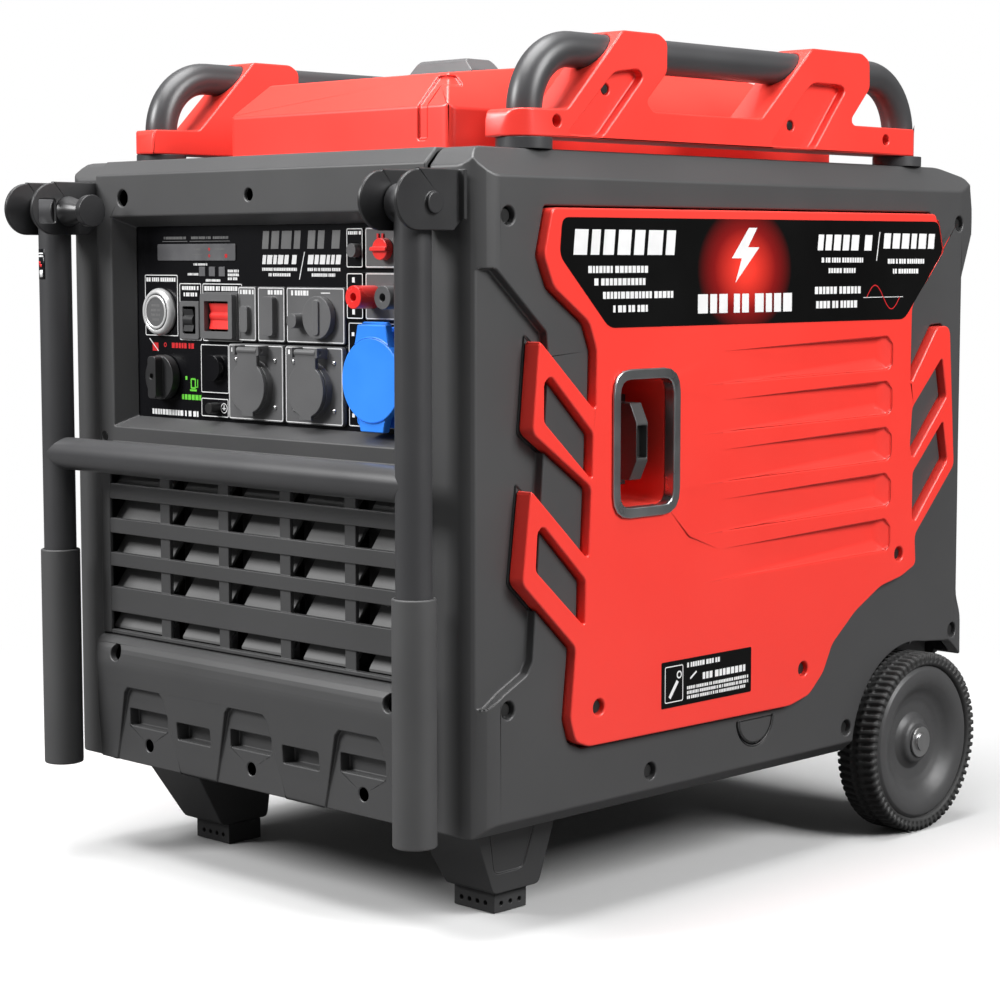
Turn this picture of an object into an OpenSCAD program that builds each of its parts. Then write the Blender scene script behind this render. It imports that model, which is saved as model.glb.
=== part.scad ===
// Inverter generator: a closed, sound-proofed petrol generator on two wheels.
// X runs across the machine, -Y is the control panel end, Z is up and the floor is z = 0.
// The left half mirrors the right half, apart from the pull-cord recess on the right cover.

/* [Covers] */
// Wall thickness of the moulded covers
wall = 4; // [3:0.5:4]
// Gap round the red side panel in its pocket
panel_gap = 1.5; // [1:0.25:2]
// Height of the flat top of the body
deck_z = 606; // [606:1:607]
/* [Wheels] */
// Radius of each tyre
tyre_r = 82.3; // [80:0.1:83]
// Width of each tyre
tyre_w = 40.5; // [36:0.5:41]
// Radius of the fixed axle
axle_r = 8; // [7:0.5:9]
// Radial running clearance of the turning parts
run_gap = 0.05; // [0.02:0.01:0.1]
/* [Handle] */
// Radius of the handle tube
tube_r = 14; // [13:0.5:14]
// Radius of the handle grips
grip_r = 17; // [15.5:0.5:17]
// Height of the handle pivot
pivot_z = 563; // [558:1:566]
// Height of the handle cross bar
bar_z = 355; // [340:1:365]
/* [Pull starter] */
// Height of the pull cord
cord_z = 377; // [374:1:380]
// Distance from the pulley axis to the cord's centre
pulley_r = 60; // [58:1:60]
/* [Controls] */
// Radius of the start button
start_r = 14.5; // [13:0.5:15]
// Radius of the fuel tap knob
tap_r = 19; // [17:0.5:20]

/* [Hidden] */
$fn = 64;

dark = "#474747";
black = "#1c1c1c";
red = "#f9463f";
steel = "#b0b2b5";

// Planes across the machine
flat_x = 256;       // raised flat of the side covers
waist_x = 248;      // sunken waist of the side covers
panel_x = 263.5;    // face of the red side panel
seam_x = 205;       // seam between side and end covers
face_y = -301;      // front face of the front cover
plate_y = -281;     // front face of the control plate
rear_y = 345;       // rear face of the rear cover
floor_z = 84;       // underside of the body
clear = 0.3;        // gap between neighbouring covers
far = 400;          // beyond the machine

wheel_y = 266.6;
wheel_x = 273.9;
arch_r = 90;
rim_r = 70;           // joint between hub and tyre
bumper_z = 196.4;     // top of the bumper
bumper_slots = [-71, 66];  // middles of its two lower pockets
handle_y = -331.2;
leg_x = 223.2;
pin_r = 5;
tube_x = 224;
tube_front_y = -214;
tube_rear_y = 278;
tube_top_z = 684.5;
tube_bend = 50;
cord_y = -106;
crank_z = cord_z - pulley_r;
recess = [-147, -83, 327, 428];  // opening of the pull-cord recess: y from, y to, z from, z to
cap_y = -66;
lid_pin_z = 448;     // hinge pins of the earthed sockets' lids
neck_z = 664;        // top of the filler neck
blue_x = 144;        // centre of the blue round-pin socket
rib_z = [196, 238, 268, 298, 328];   // lower edges of the grille's openings
rib_h = [20, 18, 17, 17, 17];        // heights of the grille's openings

// ---------- outlines as [y, z], seen from the right ----------
shell_line = [[-300, floor_z], [-300, 588], [-284, deck_z], [320, deck_z], [357, 597], [368, 556],
    [364, 544], [339, 505], [341, 209], [353, 190], [354, 153], [348, 139], [348, floor_z]];
waist_line = [[-310, 515], [-277, 515], [-222, 467], [-220, 448], [-237, 216], [-243, 206],
    [-268, 194], [-284, 184], [-310, 184]];
panel_line = [[-224, 561], [285, 563], [294, 529], [250, 480], [249, 410], [290, 461], [306, 462],
    [311, 457], [321, 333], [260, 273], [262, 246], [240, 237], [208, 231], [170, 212], [137, 187],
    [124, 163], [104, 146], [77, 140], [-181, 142], [-196, 148], [-202, 166], [-196, 222],
    [-256, 277], [-247, 349], [-182, 290], [-179, 346], [-245, 391], [-238, 462], [-174, 405],
    [-173, 452], [-182, 474], [-222, 501], [-233, 525]];
panel_holes = [
    [[-232, 429], [-225, 434], [-177, 388], [-178, 352], [-232, 399]],
    [[-239, 316], [-233, 320], [-185, 274], [-186, 238], [-241, 286]],
    [[299, 433], [307, 397], [254, 343], [250, 355], [253, 389]],
    [[302, 375], [310, 339], [258, 285], [255, 290], [255, 330]]];
banner_line = [[-213, 554], [288, 556], [296, 529], [237, 469], [-159, 469], [-216, 525]];
rail_line = [[-241, 615], [-236, 636], [-185, 637], [-127, 695], [-122, 701], [-77, 701], [-67, 695],
    [-67, 671], [-92, 647], [-84, 639], [55, 639], [118, 696], [124, 702], [197, 702], [208, 696],
    [209, 672], [182, 644], [186, 639], [286, 639], [293, 615]];
rail_pockets = [[[-185, 618], [-131, 668], [-102, 672], [-96, 666], [-145, 617]],
    [[67, 617], [118, 667], [127, 673], [166, 673], [173, 669], [129, 617]]];
rail_screws = [[-197, 627.5], [-133, 655], [105, 636], [234, 628]];
shell_screws = [[-264, 554.6], [334, 554.6], [-264, 181], [-98, 109], [169, 107], [334, 177]];
panel_screws = [[-169, 172], [95, 170], [235, 258]];
louvre_z = [[425, 454], [385, 414], [344, 373], [303, 332], [263, 291]];

// ---------- helpers ----------
// An outline grown by d with sharp corners
function turn(p) = [for (i = [0:len(p) - 1]) let (a = p[i], b = p[(i + 1) % len(p)])
    a[0] * b[1] - b[0] * a[1]];
function total(v, i = 0) = i == len(v) ? 0 : v[i] + total(v, i + 1);
function outward(a, b, s) = let (d = b - a, l = norm(d)) [d[1], -d[0]] / l * s;
function grow(p, d) = let (n = len(p), s = total(turn(p)) > 0 ? 1 : -1)
    [for (i = [0:n - 1]) let (u = outward(p[(i + n - 1) % n], p[i], s),
        v = outward(p[i], p[(i + 1) % n], s)) p[i] + (u + v) * d / (1 + u * v)];
// An outline whose corners are cut back by r and curved, with n chords each
function eased(p, r, n = 3) = let (m = len(p)) [for (i = [0:m - 1]) let (
        a = p[(i + m - 1) % m] - p[i], b = p[(i + 1) % m] - p[i],
        ra = min(r, 0.45 * norm(a)), rb = min(r, 0.45 * norm(b)),
        s = p[i] + a / norm(a) * ra, e = p[i] + b / norm(b) * rb)
    for (k = [0:n]) let (t = k / n) (1 - t) * (1 - t) * s + 2 * t * (1 - t) * p[i] + t * t * e];

module along_x(x0, x1, p) { translate([x0, 0, 0]) rotate([90, 0, 90]) linear_extrude(x1 - x0) polygon(p); }
module along_y(y0, y1, p) { translate([0, y1, 0]) rotate([90, 0, 0]) linear_extrude(y1 - y0) polygon(p); }
module along_z(z0, z1, p) { translate([0, 0, z0]) linear_extrude(z1 - z0) polygon(p); }
module box(x0, x1, y0, y1, z0, z1) { translate([x0, y0, z0]) cube([x1 - x0, y1 - y0, z1 - z0]); }
module rod_x(x0, x1, y, z, r) { translate([x0, y, z]) rotate([0, 90, 0]) cylinder(h = x1 - x0, r = r); }
module rod_y(y0, y1, x, z, r) { translate([x, y1, z]) rotate([90, 0, 0]) cylinder(h = y1 - y0, r = r); }
module rod_z(z0, z1, x, y, r) { translate([x, y, z0]) cylinder(h = z1 - z0, r = r); }
module both() { children(); mirror([1, 0, 0]) children(); }
// A rectangle as an outline with eased corners
function frame_line(a0, a1, b0, b1, r) = eased([[a0, b0], [a1, b0], [a1, b1], [a0, b1]], r, 4);

// ---------- body ----------
module base_pan() {
    wheel_cut = 176;
    color(black) difference() {
        union() {
            box(-225, 225, -292, 335, 88.3, 92.3);
            both() along_x(212, 217, [[228, 88.4], [306, 88.4], [286, 64], [247, 64]]);
        }
        rod_x(-far, far, wheel_y, tyre_r, axle_r);
        for (x = [-150, -50, 50, 150], y = [-100, 0, 100]) rod_z(80, 100, x, y, 12);
        both() box(217, far, wheel_cut, far, 80, 100);
    }
}

// Outer form of a side cover
module shell_form() {
    intersection() {
        along_x(seam_x, flat_x, eased(shell_line, 6, 2));
        along_y(-far, far, [[200, floor_z], [246, floor_z], [flat_x, 94], [flat_x, 584], [240, deck_z],
            [200, deck_z]]);
        along_z(0, 700, eased([[200, -297], [240, -297], [250, -290], [flat_x, -278], [flat_x, 338],
            [248, 369], [200, 369]], 6, 2));
    }
}

// Hollow inside a side cover
module shell_hollow() {
    in_x = waist_x - wall;
    intersection() {
        along_x(seam_x - 1, in_x, [[-293, floor_z + wall], [-293, 584], [-281, deck_z - wall],
            [318, deck_z - wall], [350, 592], [362, 556], [358, 546], [334, 507], [336, 207],
            [348, 188], [349, 155], [343, 141], [343, floor_z + wall]]);
        along_z(0, 700, [[200, -293], [236, -293], [in_x, -286], [in_x, 331], [240, 363], [200, 363]]);
        along_y(-far, far, [[200, 0], [in_x, 0], [in_x, 576], [228, deck_z - wall], [200, deck_z - wall]]);
    }
}

module side_shell(has_recess) {
    arch_x = 226;
    axle_hole = 20;
    difference() {
        shell_form();
        shell_hollow();
        along_x(waist_x, far, waist_line);
        difference() {
            along_x(waist_x - 0.4, far, grow(panel_line, panel_gap));
            for (h = panel_holes) along_x(waist_x - 1, far + 1, grow(h, -panel_gap));
        }
        rod_x(arch_x, far, wheel_y + 2, 83, arch_r);
        along_x(arch_x, far, [[wheel_y, 173], [328, 168], [352, 152], [far, 150], [far, 0], [wheel_y, 0]]);
        box(200, far, 178, far, 80, 90);
        rod_x(200, far, wheel_y, tyre_r, axle_hole);
        for (y = [tube_front_y, tube_rear_y]) rod_z(574, 610, tube_x, y, tube_r + clear);
        for (p = shell_screws) rod_x(flat_x - 8, far, p[0], p[1], 7);
        for (p = panel_screws) rod_x(200, far, p[0], p[1], 2.6);
        if (has_recess) box(240, far, recess[0] - 6, recess[1] + 6, recess[2] - 6, recess[3] + 6);
        along_x(flat_x - 1.2, far, [for (a = [180:10:360]) [38 + 25 * cos(a), 134 + 24 * sin(a)]]);
    }
    // wheel housing behind the arch
    difference() {
        intersection() {
            union() {
                rod_x(222, waist_x, wheel_y + 2, 83, arch_r + 3);
                box(222, waist_x, wheel_y, 340, 90, 174);
            }
            box(222, waist_x - wall, 150, 336, 93, 200);
        }
        rod_x(200, far, wheel_y, tyre_r, axle_hole);
        rod_x(225, far, wheel_y + 2, 83, arch_r);
        along_x(225, far, [[wheel_y, 173], [328, 168], [far, 160], [far, 0], [wheel_y, 0]]);
    }
    // drain flap under the panel
    along_x(flat_x - 1.2, flat_x + 0.6, [for (a = [180:10:360]) [38 + 22 * cos(a), 134 + 21 * sin(a)]]);
}
module side_shell_right() { color(dark) side_shell(true); }
module side_shell_left() { color(dark) mirror([1, 0, 0]) side_shell(false); }

// Opening that narrows from the front face towards the control plate
module plate_well() {
    intersection() {
        along_z(0, 700, [[-184, face_y - 1], [184, face_y - 1], [172, plate_y + 1], [-172, plate_y + 1]]);
        along_x(-200, 200, [[face_y - 1, 378], [face_y - 1, 559], [plate_y + 1, 549], [plate_y + 1, 388]]);
    }
}

module front_cover() {
    edge_x = seam_x - clear;
    color(dark) difference() {
        union() {
            along_x(-edge_x, edge_x, [[face_y, bumper_z], [face_y, 594], [-289, deck_z], [-268, deck_z],
                [-268, deck_z - wall], [-287, deck_z - wall], [-297, 592], [-297, bumper_z]]);
            box(-188, 188, -297, plate_y, 374, 563);
            for (z = [362, 352]) box(-186, 186, face_y - 1.5, face_y, z, z + 3);
        }
        plate_well();
        box(-192, 192, -310, -290, bumper_z - 1, 349);
        box(-183, 183, -292, -280, 560.5, 600);
        for (x = [-167, 0, 167]) rod_y(-310, -280, x, 574, x == 0 ? 5 : 7);
        for (x = [-197, 197]) rod_y(-310, -299, x, 369, 4);
    }
}

module top_deck() {
    edge_x = seam_x - clear;
    color(dark) difference() {
        box(-edge_x, edge_x, -267.7, 336.7, deck_z - wall, deck_z);
        rod_z(590, 610, 0, cap_y, 41);
        both() rod_z(590, 610, 200, 270, 3);
    }
}

module rear_cover() {
    edge_x = seam_x - clear;
    color(dark) difference() {
        union() {
            along_x(-edge_x, edge_x, [[rear_y, floor_z], [rear_y, 505], [366, 544], [368, 556], [359, 592],
                [345, 601], [337, deck_z], [337, deck_z - wall], [344, 597], [355, 589], [364, 556],
                [362, 546], [rear_y - wall, 507], [rear_y - wall, floor_z]]);
            along_y(rear_y, rear_y + 5, frame_line(-150, 150, 150, 470, 18));
        }
        for (k = [0:7]) box(-128, 40, 300, far, 235 + 26 * k, 247 + 26 * k);
        rod_y(300, far, 95, 380, 34);
        for (k = [0:3]) box(64, 128, 300, far, 190 + 22 * k, 200 + 22 * k);
        for (x = [-180, 180], z = [130, 300, 490]) rod_y(rear_y - 2, far, x, z, 6);
    }
}

module control_plate() {
    color(black) difference() {
        box(-188, 188, plate_y, plate_y + 3, 374, 563);
        rod_y(-290, -270, -140.5, 477.5, start_r + 0.4);
        rod_y(-290, -270, 109, 529, 5.9);
        box(-109, -93, -290, -270, 459, 483);
        box(-73, -41, -290, -270, 461, 489);
        rod_y(-290, -270, -134, 422, 4 + run_gap);
        rod_y(-290, -270, 143, 530, 4 + run_gap);
        rod_y(-290, -270, 68, 476, 10);
        for (x = [-12, 60]) rod_y(-290, -270, x, 416, 20.6);
        rod_y(-290, -270, blue_x, 429, 24.4);
    }
}

// Grille bars across the air inlet, tied by set-back uprights
module front_grille() {
    color(dark) difference() {
        box(-191.7, 191.7, face_y, -295, bumper_z + 0.3, 348.7);
        for (i = [0:4]) for (k = [-2:2])
            box(k * 78 - (k == -2 ? 38 : 32.5), k * 78 + (k == 2 ? 38 : 32.5), -310, -290,
                max(rib_z[i], 200), rib_z[i] + rib_h[i]);
        for (i = [0:4]) for (x = [-117, -39, 39, 117])
            box(x - 8, x + 8, -310, -299, max(rib_z[i], 200), rib_z[i] + rib_h[i]);
    }
}

// Slanted sound-deadening slats behind the grille
module grille_backing() {
    color("#8d8d8d") {
        difference() {
            for (z = [200, 230, 260, 290, 320])
                along_x(-198, 198, [[-293, z], [-293, z + 2.5], [-276, z + 26], [-274, z + 26],
                    [-274, z + 23]]);
            for (x = [-117, -39, 39, 117]) box(x - 2, x + 15, -300, -260, 190, 360);
        }
        for (x = [-117, -39, 39, 117]) box(x - 5, x + 18, -274, -271, 196, 350);
        both() box(190, 200, -274, -271, 196, 350);
    }
}

module bumper_pocket(x, d) {
    along_y(-320, -302 + d, [[x - 46, 80], [x - 27, 148], [x - 22, 153], [x + 22, 153], [x + 27, 148],
        [x + 46, 80]]);
}

module bumper() {
    color(dark) difference() {
        union() {
            difference() {
                along_x(-204.5, 204.5, eased([[-292, 88], [-305, 85], [-306, 104], [-310, 150],
                    [-312.5, 172], [-310.5, 186], [-303, 195], [-292, bumper_z - 0.3]], 4, 2));
                along_x(-200, 200, [[-290, 92], [-301.5, 92], [-304, 150], [-307, 172], [-302, 186.5],
                    [-290, 188]]);
            }
            for (x = [-136.5, 0, 136.5]) box(x - 29, x + 29, -303.4, -292.6, 116, 137);
            for (x = bumper_slots) box(x - 25, x + 25, -303.4, -292.6, 113, 134);
        }
        for (x = [-136.5, 0, 136.5]) {
            intersection() {
                bumper_pocket(x, 0);
                along_x(-far, far, [[-320, 80], [-303.6, 80], [-305, 153], [-320, 155]]);
            }
            box(x - 26, x + 26, -320, -294.5, 119, 134);
            rod_y(-320, -280, x, 104, 5.5);
        }
        for (x = bumper_slots) box(x - 22, x + 22, -320, -294.5, 116, 131);
        for (x = [-173.5, 173.5]) rod_y(-320, -280, x, 182, 7);
        both() along_z(0, 300, [[192, -320], [210, -320], [210, -302]]);
    }
}

// ---------- red top ----------
// Outer form of the tank cover, or the form d further in
module tank_form(d) {
    intersection() {
        along_y(-219 + d, 284 - d, [[-124 + d, 500], [-124 + d, 641], [-84 + d / 2, 689 - d],
            [104 - d / 2, 689 - d], [148 - d, 641], [148 - d, 500]]);
        along_x(-200, 200, [[-219 + d, 500], [-219 + d, 643], [-193 + d / 2, 671 - d],
            [-60, 684 - d], [180, 689 - d], [250, 676 - d], [284 - d, 640], [284 - d, 500]]);
        along_z(500, 700, eased([[-124 + d, -219 + d], [148 - d, -219 + d], [148 - d, 284 - d],
            [-124 + d, 284 - d]], 9, 3));
        box(-200, 200, -230, 300, deck_z, 700);
    }
}

module tank_cover() {
    groove_d = 2.4;
    color(red) difference() {
        tank_form(0);
        difference() {
            tank_form(wall);
            rod_z(600, 700, 0, cap_y, 58);
        }
        rod_z(660, 700, 0, cap_y, 52);
        rod_z(600, 700, 0, cap_y, 38.5);
        // L-shaped groove round the front right corner
        difference() {
            along_y(-230, -186, [[112, 617], [122, 617], [122, 660], [142, 660], [142, 668], [112, 668]]);
            tank_form(groove_d);
        }
    }
}

module top_rails() {
    out_x = 243;
    color(red) both() difference() {
        intersection() {
            along_x(205.4, out_x, eased(rail_line, 3.5, 2));
            along_z(600, 710, [[205, -238], [222, -239], [233, -235], [240, -229], [out_x, -222],
                [out_x, 276], [237, 286], [225, 292], [205, 294]]);
        }
        carry_tube(tube_r + run_gap);
        for (p = rail_pockets) along_x(out_x - 8, far, eased(p, 5, 2));
        for (p = rail_screws) rod_x(out_x - 12, far, p[0], p[1], 4.6);
    }
}

module carry_tube(r) {
    low_z = tube_top_z - tube_bend;
    rod_z(560, low_z, tube_x, tube_front_y, r);
    rod_z(560, low_z, tube_x, tube_rear_y, r);
    rod_y(tube_front_y + tube_bend, tube_rear_y - tube_bend, tube_x, tube_top_z, r);
    translate([tube_x, tube_front_y + tube_bend, low_z]) rotate([0, -90, 0])
        rotate_extrude(angle = -90) translate([tube_bend, 0]) circle(r = r);
    translate([tube_x, tube_rear_y - tube_bend, low_z]) rotate([0, -90, 0])
        rotate_extrude(angle = 90) translate([tube_bend, 0]) circle(r = r);
}
module carry_tubes() {
    color(black) both() {
        carry_tube(tube_r);
        for (y = [tube_front_y, tube_rear_y]) difference() {
            rod_z(deck_z, 614.8, tube_x, y, 22);
            rod_z(600, 620, tube_x, y, tube_r);
        }
    }
}

// ---------- side panel ----------
module side_panel(has_recess) {
    skin = 3.5;
    back_line = [[-170, 540], [240, 540], [240, 480], [238, 270], [200, 245], [165, 230], [120, 196],
        [95, 165], [-180, 165], [-180, 230], [-165, 300], [-165, 470], [-205, 505], [-215, 530]];
    difference() {
        along_x(waist_x, panel_x, eased(panel_line, 5));
        for (h = panel_holes) along_x(waist_x - 1, far, eased(h, 3, 2));
        difference() {
            along_x(waist_x - 1, panel_x - skin - 8, back_line);
            for (p = panel_screws) rod_x(waist_x - 2, panel_x, p[0], p[1], 9);
            if (has_recess) box(waist_x - 2, panel_x, recess[0] - 12, recess[1] + 12,
                recess[2] - 12, recess[3] + 12);
        }
        for (z = louvre_z) intersection() {
            along_x(waist_x, far, [[-28, z[0] - 4], [214, z[0]], [219, z[0] + 4], [219, z[1] - 6],
                [213, z[1]], [-28, z[1] - 7]]);
            along_z(0, 700, [[far, -24], [panel_x + 0.1, -24], [panel_x - 8, 204], [panel_x + 0.1, 220],
                [far, 220]]);
            along_y(-30, 222, [[far, z[0] - 6], [panel_x + 0.1, z[0] - 4], [panel_x - 8, z[0] + 9],
                [panel_x - 8, z[1] + 2], [far, z[1] + 2]]);
        }
        if (has_recess) along_x(200, far, frame_line(recess[0] - 3.7, recess[1] + 3.7, recess[2] - 3.7,
            recess[3] + 3.7, 14));
        for (p = panel_screws) {
            rod_x(panel_x - 7, far, p[0], p[1], 6.5);
            rod_x(200, far, p[0], p[1], 2.6);
        }
        along_x(panel_x - 0.6, far, banner_line);
        box(panel_x - 0.6, far, -94, 22, 160, 198);
    }
    // thin printed plates let into the panel
    along_x(panel_x - 0.6, panel_x, banner_line);
    box(panel_x - 0.6, panel_x, -94, 22, 160, 198);
}
module side_panel_right() { color(red) side_panel(true); }
module side_panel_left() { color(red) mirror([1, 0, 0]) side_panel(false); }

module recess_ring(x0, x1, a, b, r) {
    difference() {
        along_x(x0, x1, frame_line(recess[0] - a, recess[1] + a, recess[2] - a, recess[3] + a, r + a));
        along_x(x0 - 1, x1 + 1, frame_line(recess[0] - b, recess[1] + b, recess[2] - b, recess[3] + b, r + b));
    }
}

module starter_recess() {
    color(red) {
        recess_ring(206, 254.9, 3.2, 0.4, 11);
        difference() {
            along_x(203, 206, frame_line(recess[0] - 3.2, recess[1] + 3.2, recess[2] - 3.2,
                recess[3] + 3.2, 14));
            box(200, 210, cord_y - 14, cord_y + 14, cord_z - 37, cord_z + 37);
        }
    }
}

module recess_frame() {
    color(steel) {
        recess_ring(panel_x, panel_x + 2.5, 8.5, 0, 12);
        recess_ring(255.5, panel_x, 3.2, 0, 12);
    }
}

module recoil_housing() {
    color(black) difference() {
        union() {
            box(196, 222, cord_y - 13.5, cord_y + 13.5, cord_z - 36.5, cord_z + 36.5);
            rod_y(cord_y - 16, cord_y - 9.5, 0, crank_z, pulley_r + 12);
            rod_y(cord_y - 16, cord_y + 9, 0, crank_z, 10);
            box(50, 197, cord_y - 16, cord_y - 9.5, cord_z - 36.5, cord_z);
        }
        rod_x(190, 230, cord_y, cord_z, 4);
        rod_y(cord_y - 20, cord_y + 20, 0, crank_z, 8.4);
        for (a = [0:45:315]) rod_y(cord_y - 20, cord_y, 40 * cos(a), crank_z + 40 * sin(a), 9);
    }
}

// ---------- handle, legs and wheels ----------
module handle_brackets() {
    color(black) difference() {
        both() {
            difference() {
                union() {
                    for (x = [203, 241.5]) {
                        along_x(x, x + 3.5, [[face_y - 0.3, 551], [face_y - 0.3, 588], [-346, 588],
                            [-346, 543], [face_y - 9, 543]]);
                        rod_x(x, x + 3.5, -346, 565, 22);
                    }
                    box(203, 250.5, face_y - 4, face_y - 0.3, 551, 588);
                }
                rod_x(200, 210, handle_y, pivot_z, pin_r + run_gap);
            }
            box(208, 236, face_y - 0.3, -297, 552, 583);
            rod_x(229, 245, handle_y, pivot_z, pin_r);
            rod_x(245, 248, handle_y, pivot_z, 8);
        }
        along_x(-210, -200, frame_line(-361, -344, 553, 573, 2));
    }
}

module handle_legs() {
    color(black) both() difference() {
        union() {
            rod_z(84, pivot_z, leg_x, handle_y, tube_r);
            rod_x(208, 238.4, handle_y, pivot_z, tube_r + 1);
        }
        rod_x(200, 250, handle_y, pivot_z, pin_r + run_gap);
    }
}

module handle_crossbar() {
    color(black) difference() {
        rod_x(-leg_x, leg_x, handle_y, bar_z, tube_r);
        both() rod_z(0, 600, leg_x, handle_y, tube_r);
    }
}

module handle_grips() {
    color("#3c3c3c") both() {
        difference() {
            rod_z(82, 271, leg_x, handle_y, grip_r);
            rod_z(84, 280, leg_x, handle_y, tube_r);
        }
    }
}

// Sprung pull-pins that lock the handle at its pivots: a short button on the right, a
// long flared knob on the left
module lock_knob_right() {
    color(black) {
        rod_x(191, 216, handle_y, pivot_z, pin_r);
        rod_x(192.4, 202.4, handle_y, pivot_z, 9);
    }
}
module lock_knob_left() {
    color(black) mirror([1, 0, 0]) {
        rod_x(191, 216, handle_y, pivot_z, pin_r);
        translate([202.4, handle_y, pivot_z]) rotate([0, -90, 0]) cylinder(h = 22, r1 = 13, r2 = 7.5);
        translate([180.4, handle_y, pivot_z]) rotate([0, -90, 0]) cylinder(h = 6, r1 = 8, r2 = 13.5);
        rod_x(168.4, 174.4, handle_y, pivot_z, 13.5);
    }
}

module support_legs() {
    color(dark) both() difference() {
        intersection() {
            along_y(-262, -150, [[212, floor_z], [196, 18], [143, 18], [138, floor_z]]);
            along_x(130, 220, eased([[-258, floor_z], [-219, 18], [-166, 18], [-161, floor_z]], 5));
        }
        box(147, 188, -209, -173, 30, 90);
        // shallow panel pressed into the outer face
        intersection() {
            along_y(-262, -150, [[210.5, floor_z], [194.5, 18], [230, 18], [230, floor_z]]);
            along_x(180, 230, eased([[-243, 90], [-222, 36], [-189, 36], [-183, 90]], 6));
        }
    }
}

module foot_pads() {
    color("#262626") both() difference() {
        box(143.6, 189.3, -211, -174, 0, 18);
        for (y = [-203, -192.5, -182]) rod_x(184, 200, y, 7, 2);
        for (x = [152, 161, 170, 179]) rod_y(-220, -207, x, 7, 2);
    }
}

module axle() {
    color(steel) {
        rod_x(-271.6, 271.6, wheel_y, tyre_r, axle_r);
        both() {
            rod_x(267.2, 269.4, wheel_y, tyre_r, 14);
            rod_x(217.3, 234, wheel_y, tyre_r, 12);
        }
    }
}

module tyre() {
    shoulder = 7;
    translate([wheel_x - tyre_w, wheel_y, tyre_r]) rotate([0, 90, 0]) rotate_extrude()
        polygon([[rim_r, 5], [tyre_r - 9, 1.5], [tyre_r - shoulder, 0], [tyre_r, shoulder],
            [tyre_r, tyre_w - shoulder], [tyre_r - shoulder, tyre_w], [tyre_r - 9, tyre_w - 1.5],
            [rim_r, tyre_w - 5]]);
}
module hub() {
    bore = axle_r + run_gap;
    translate([wheel_x - tyre_w, wheel_y, tyre_r]) rotate([0, 90, 0]) rotate_extrude()
        polygon([[bore, 1], [16, 1], [16, 8], [44, 10], [60, 5], [rim_r, 5], [rim_r, tyre_w - 5],
            [67, tyre_w - 2], [63, tyre_w - 1.2], [56, tyre_w - 2.4], [50, tyre_w - 6],
            [44, tyre_w - 11], [35, tyre_w - 15], [26, tyre_w - 16], [22, tyre_w - 13],
            [19, tyre_w - 8.5], [16, tyre_w - 7], [bore, tyre_w - 7]]);
}
module tyre_right() { color("#222222") tyre(); }
module tyre_left() { color("#222222") mirror([1, 0, 0]) tyre(); }
module hub_right() { color("#3b3b3b") hub(); }
module hub_left() { color("#3b3b3b") mirror([1, 0, 0]) hub(); }

// ---------- pull starter and engine ----------
module starter_grip() {
    color("#5a5a5a") difference() {
        along_y(cord_y - 7, cord_y + 7, [[244.7, cord_z - 31], [252, cord_z - 15.5],
            [252, cord_z + 15.5], [244.7, cord_z + 31], [222.4, cord_z + 31], [222.4, cord_z - 31]]);
        box(244, 260, cord_y - 5.5, cord_y + 5.5, cord_z - 13, cord_z + 13);
        rod_x(200, 228, cord_y, cord_z, 2);
    }
}
module starter_rope() { color("#d8d2c0") rod_x(-130, 228, cord_y, cord_z, 2); }

module recoil_pulley() {
    inner = pulley_r - 2.6;
    color("#6b6b6b") translate([0, cord_y, crank_z]) rotate([90, 0, 0]) difference() {
        rotate_extrude() polygon([[10 + run_gap, -9], [inner, -9], [inner, -3.4], [inner - 3, -3], [inner - 3, 3],
            [inner, 3.4], [inner, 9], [10 + run_gap, 9]]);
        for (a = [0:60:300]) translate([36 * cos(a), 36 * sin(a), -20]) cylinder(h = 40, r = 8);
    }
}

module crankshaft() {
    color(steel) {
        rod_y(cord_y - 12, 205, 0, crank_z, 8);
        rod_y(40, 60, 0, crank_z, 40);
        rod_y(90, 110, 0, crank_z, 40);
    }
}

module rotor_fan() {
    color("#77797c") difference() {
        union() {
            rod_y(-92, -84, 0, crank_z, 86);
            rod_y(-92, -36, 0, crank_z, 82);
        }
        rod_y(-84, -30, 0, crank_z, 76);
        rod_y(-100, 0, 0, crank_z, 8);
        for (a = [0:45:315]) rod_y(-100, -80, 55 * cos(a), crank_z + 55 * sin(a), 11);
    }
}

module engine_block() {
    color("#9b9da0") difference() {
        union() {
            along_y(-22, 135, [[-95, 225], [95, 225], [108, 250], [108, 380], [80, 402], [-80, 402],
                [-108, 380], [-108, 250]]);
            for (k = [0:6]) box(108, 172 - 3 * k, 10, 120, 268 + 16 * k, 276 + 16 * k);
            box(108, 150, 25, 105, 262, 385);
            difference() {
                rod_y(-75, -22, 0, crank_z, 70);
                rod_y(-80, 0, 0, crank_z, 30);
            }
            for (x = [-90, 70]) box(x, x + 20, 0, 110, 92.3, 225);
        }
        rod_y(-30, 140, 0, crank_z, 8 + run_gap);
        rod_y(0, 118, 0, crank_z, 62);
    }
}

module muffler() {
    color("#8a8681") {
        along_y(160, 330, frame_line(30, 180, 300, 430, 26));
        rod_y(330, 352, 95, 380, 24);
    }
}

module air_cleaner() {
    color("#2b2b2b") along_x(-190, -120, eased([[-20, 250], [150, 250], [150, 400], [-20, 400]], 20, 3));
}

module inverter_module() {
    color("#a9acb0") difference() {
        box(-170, 60, -262, -160, 120, 250);
        for (k = [0:13]) box(-162 + 16 * k, -154 + 16 * k, -280, -240, 130, 260);
    }
}

module battery() { color("#202020") along_z(93, 210, frame_line(80, 190, -262, -170, 5)); }

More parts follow.
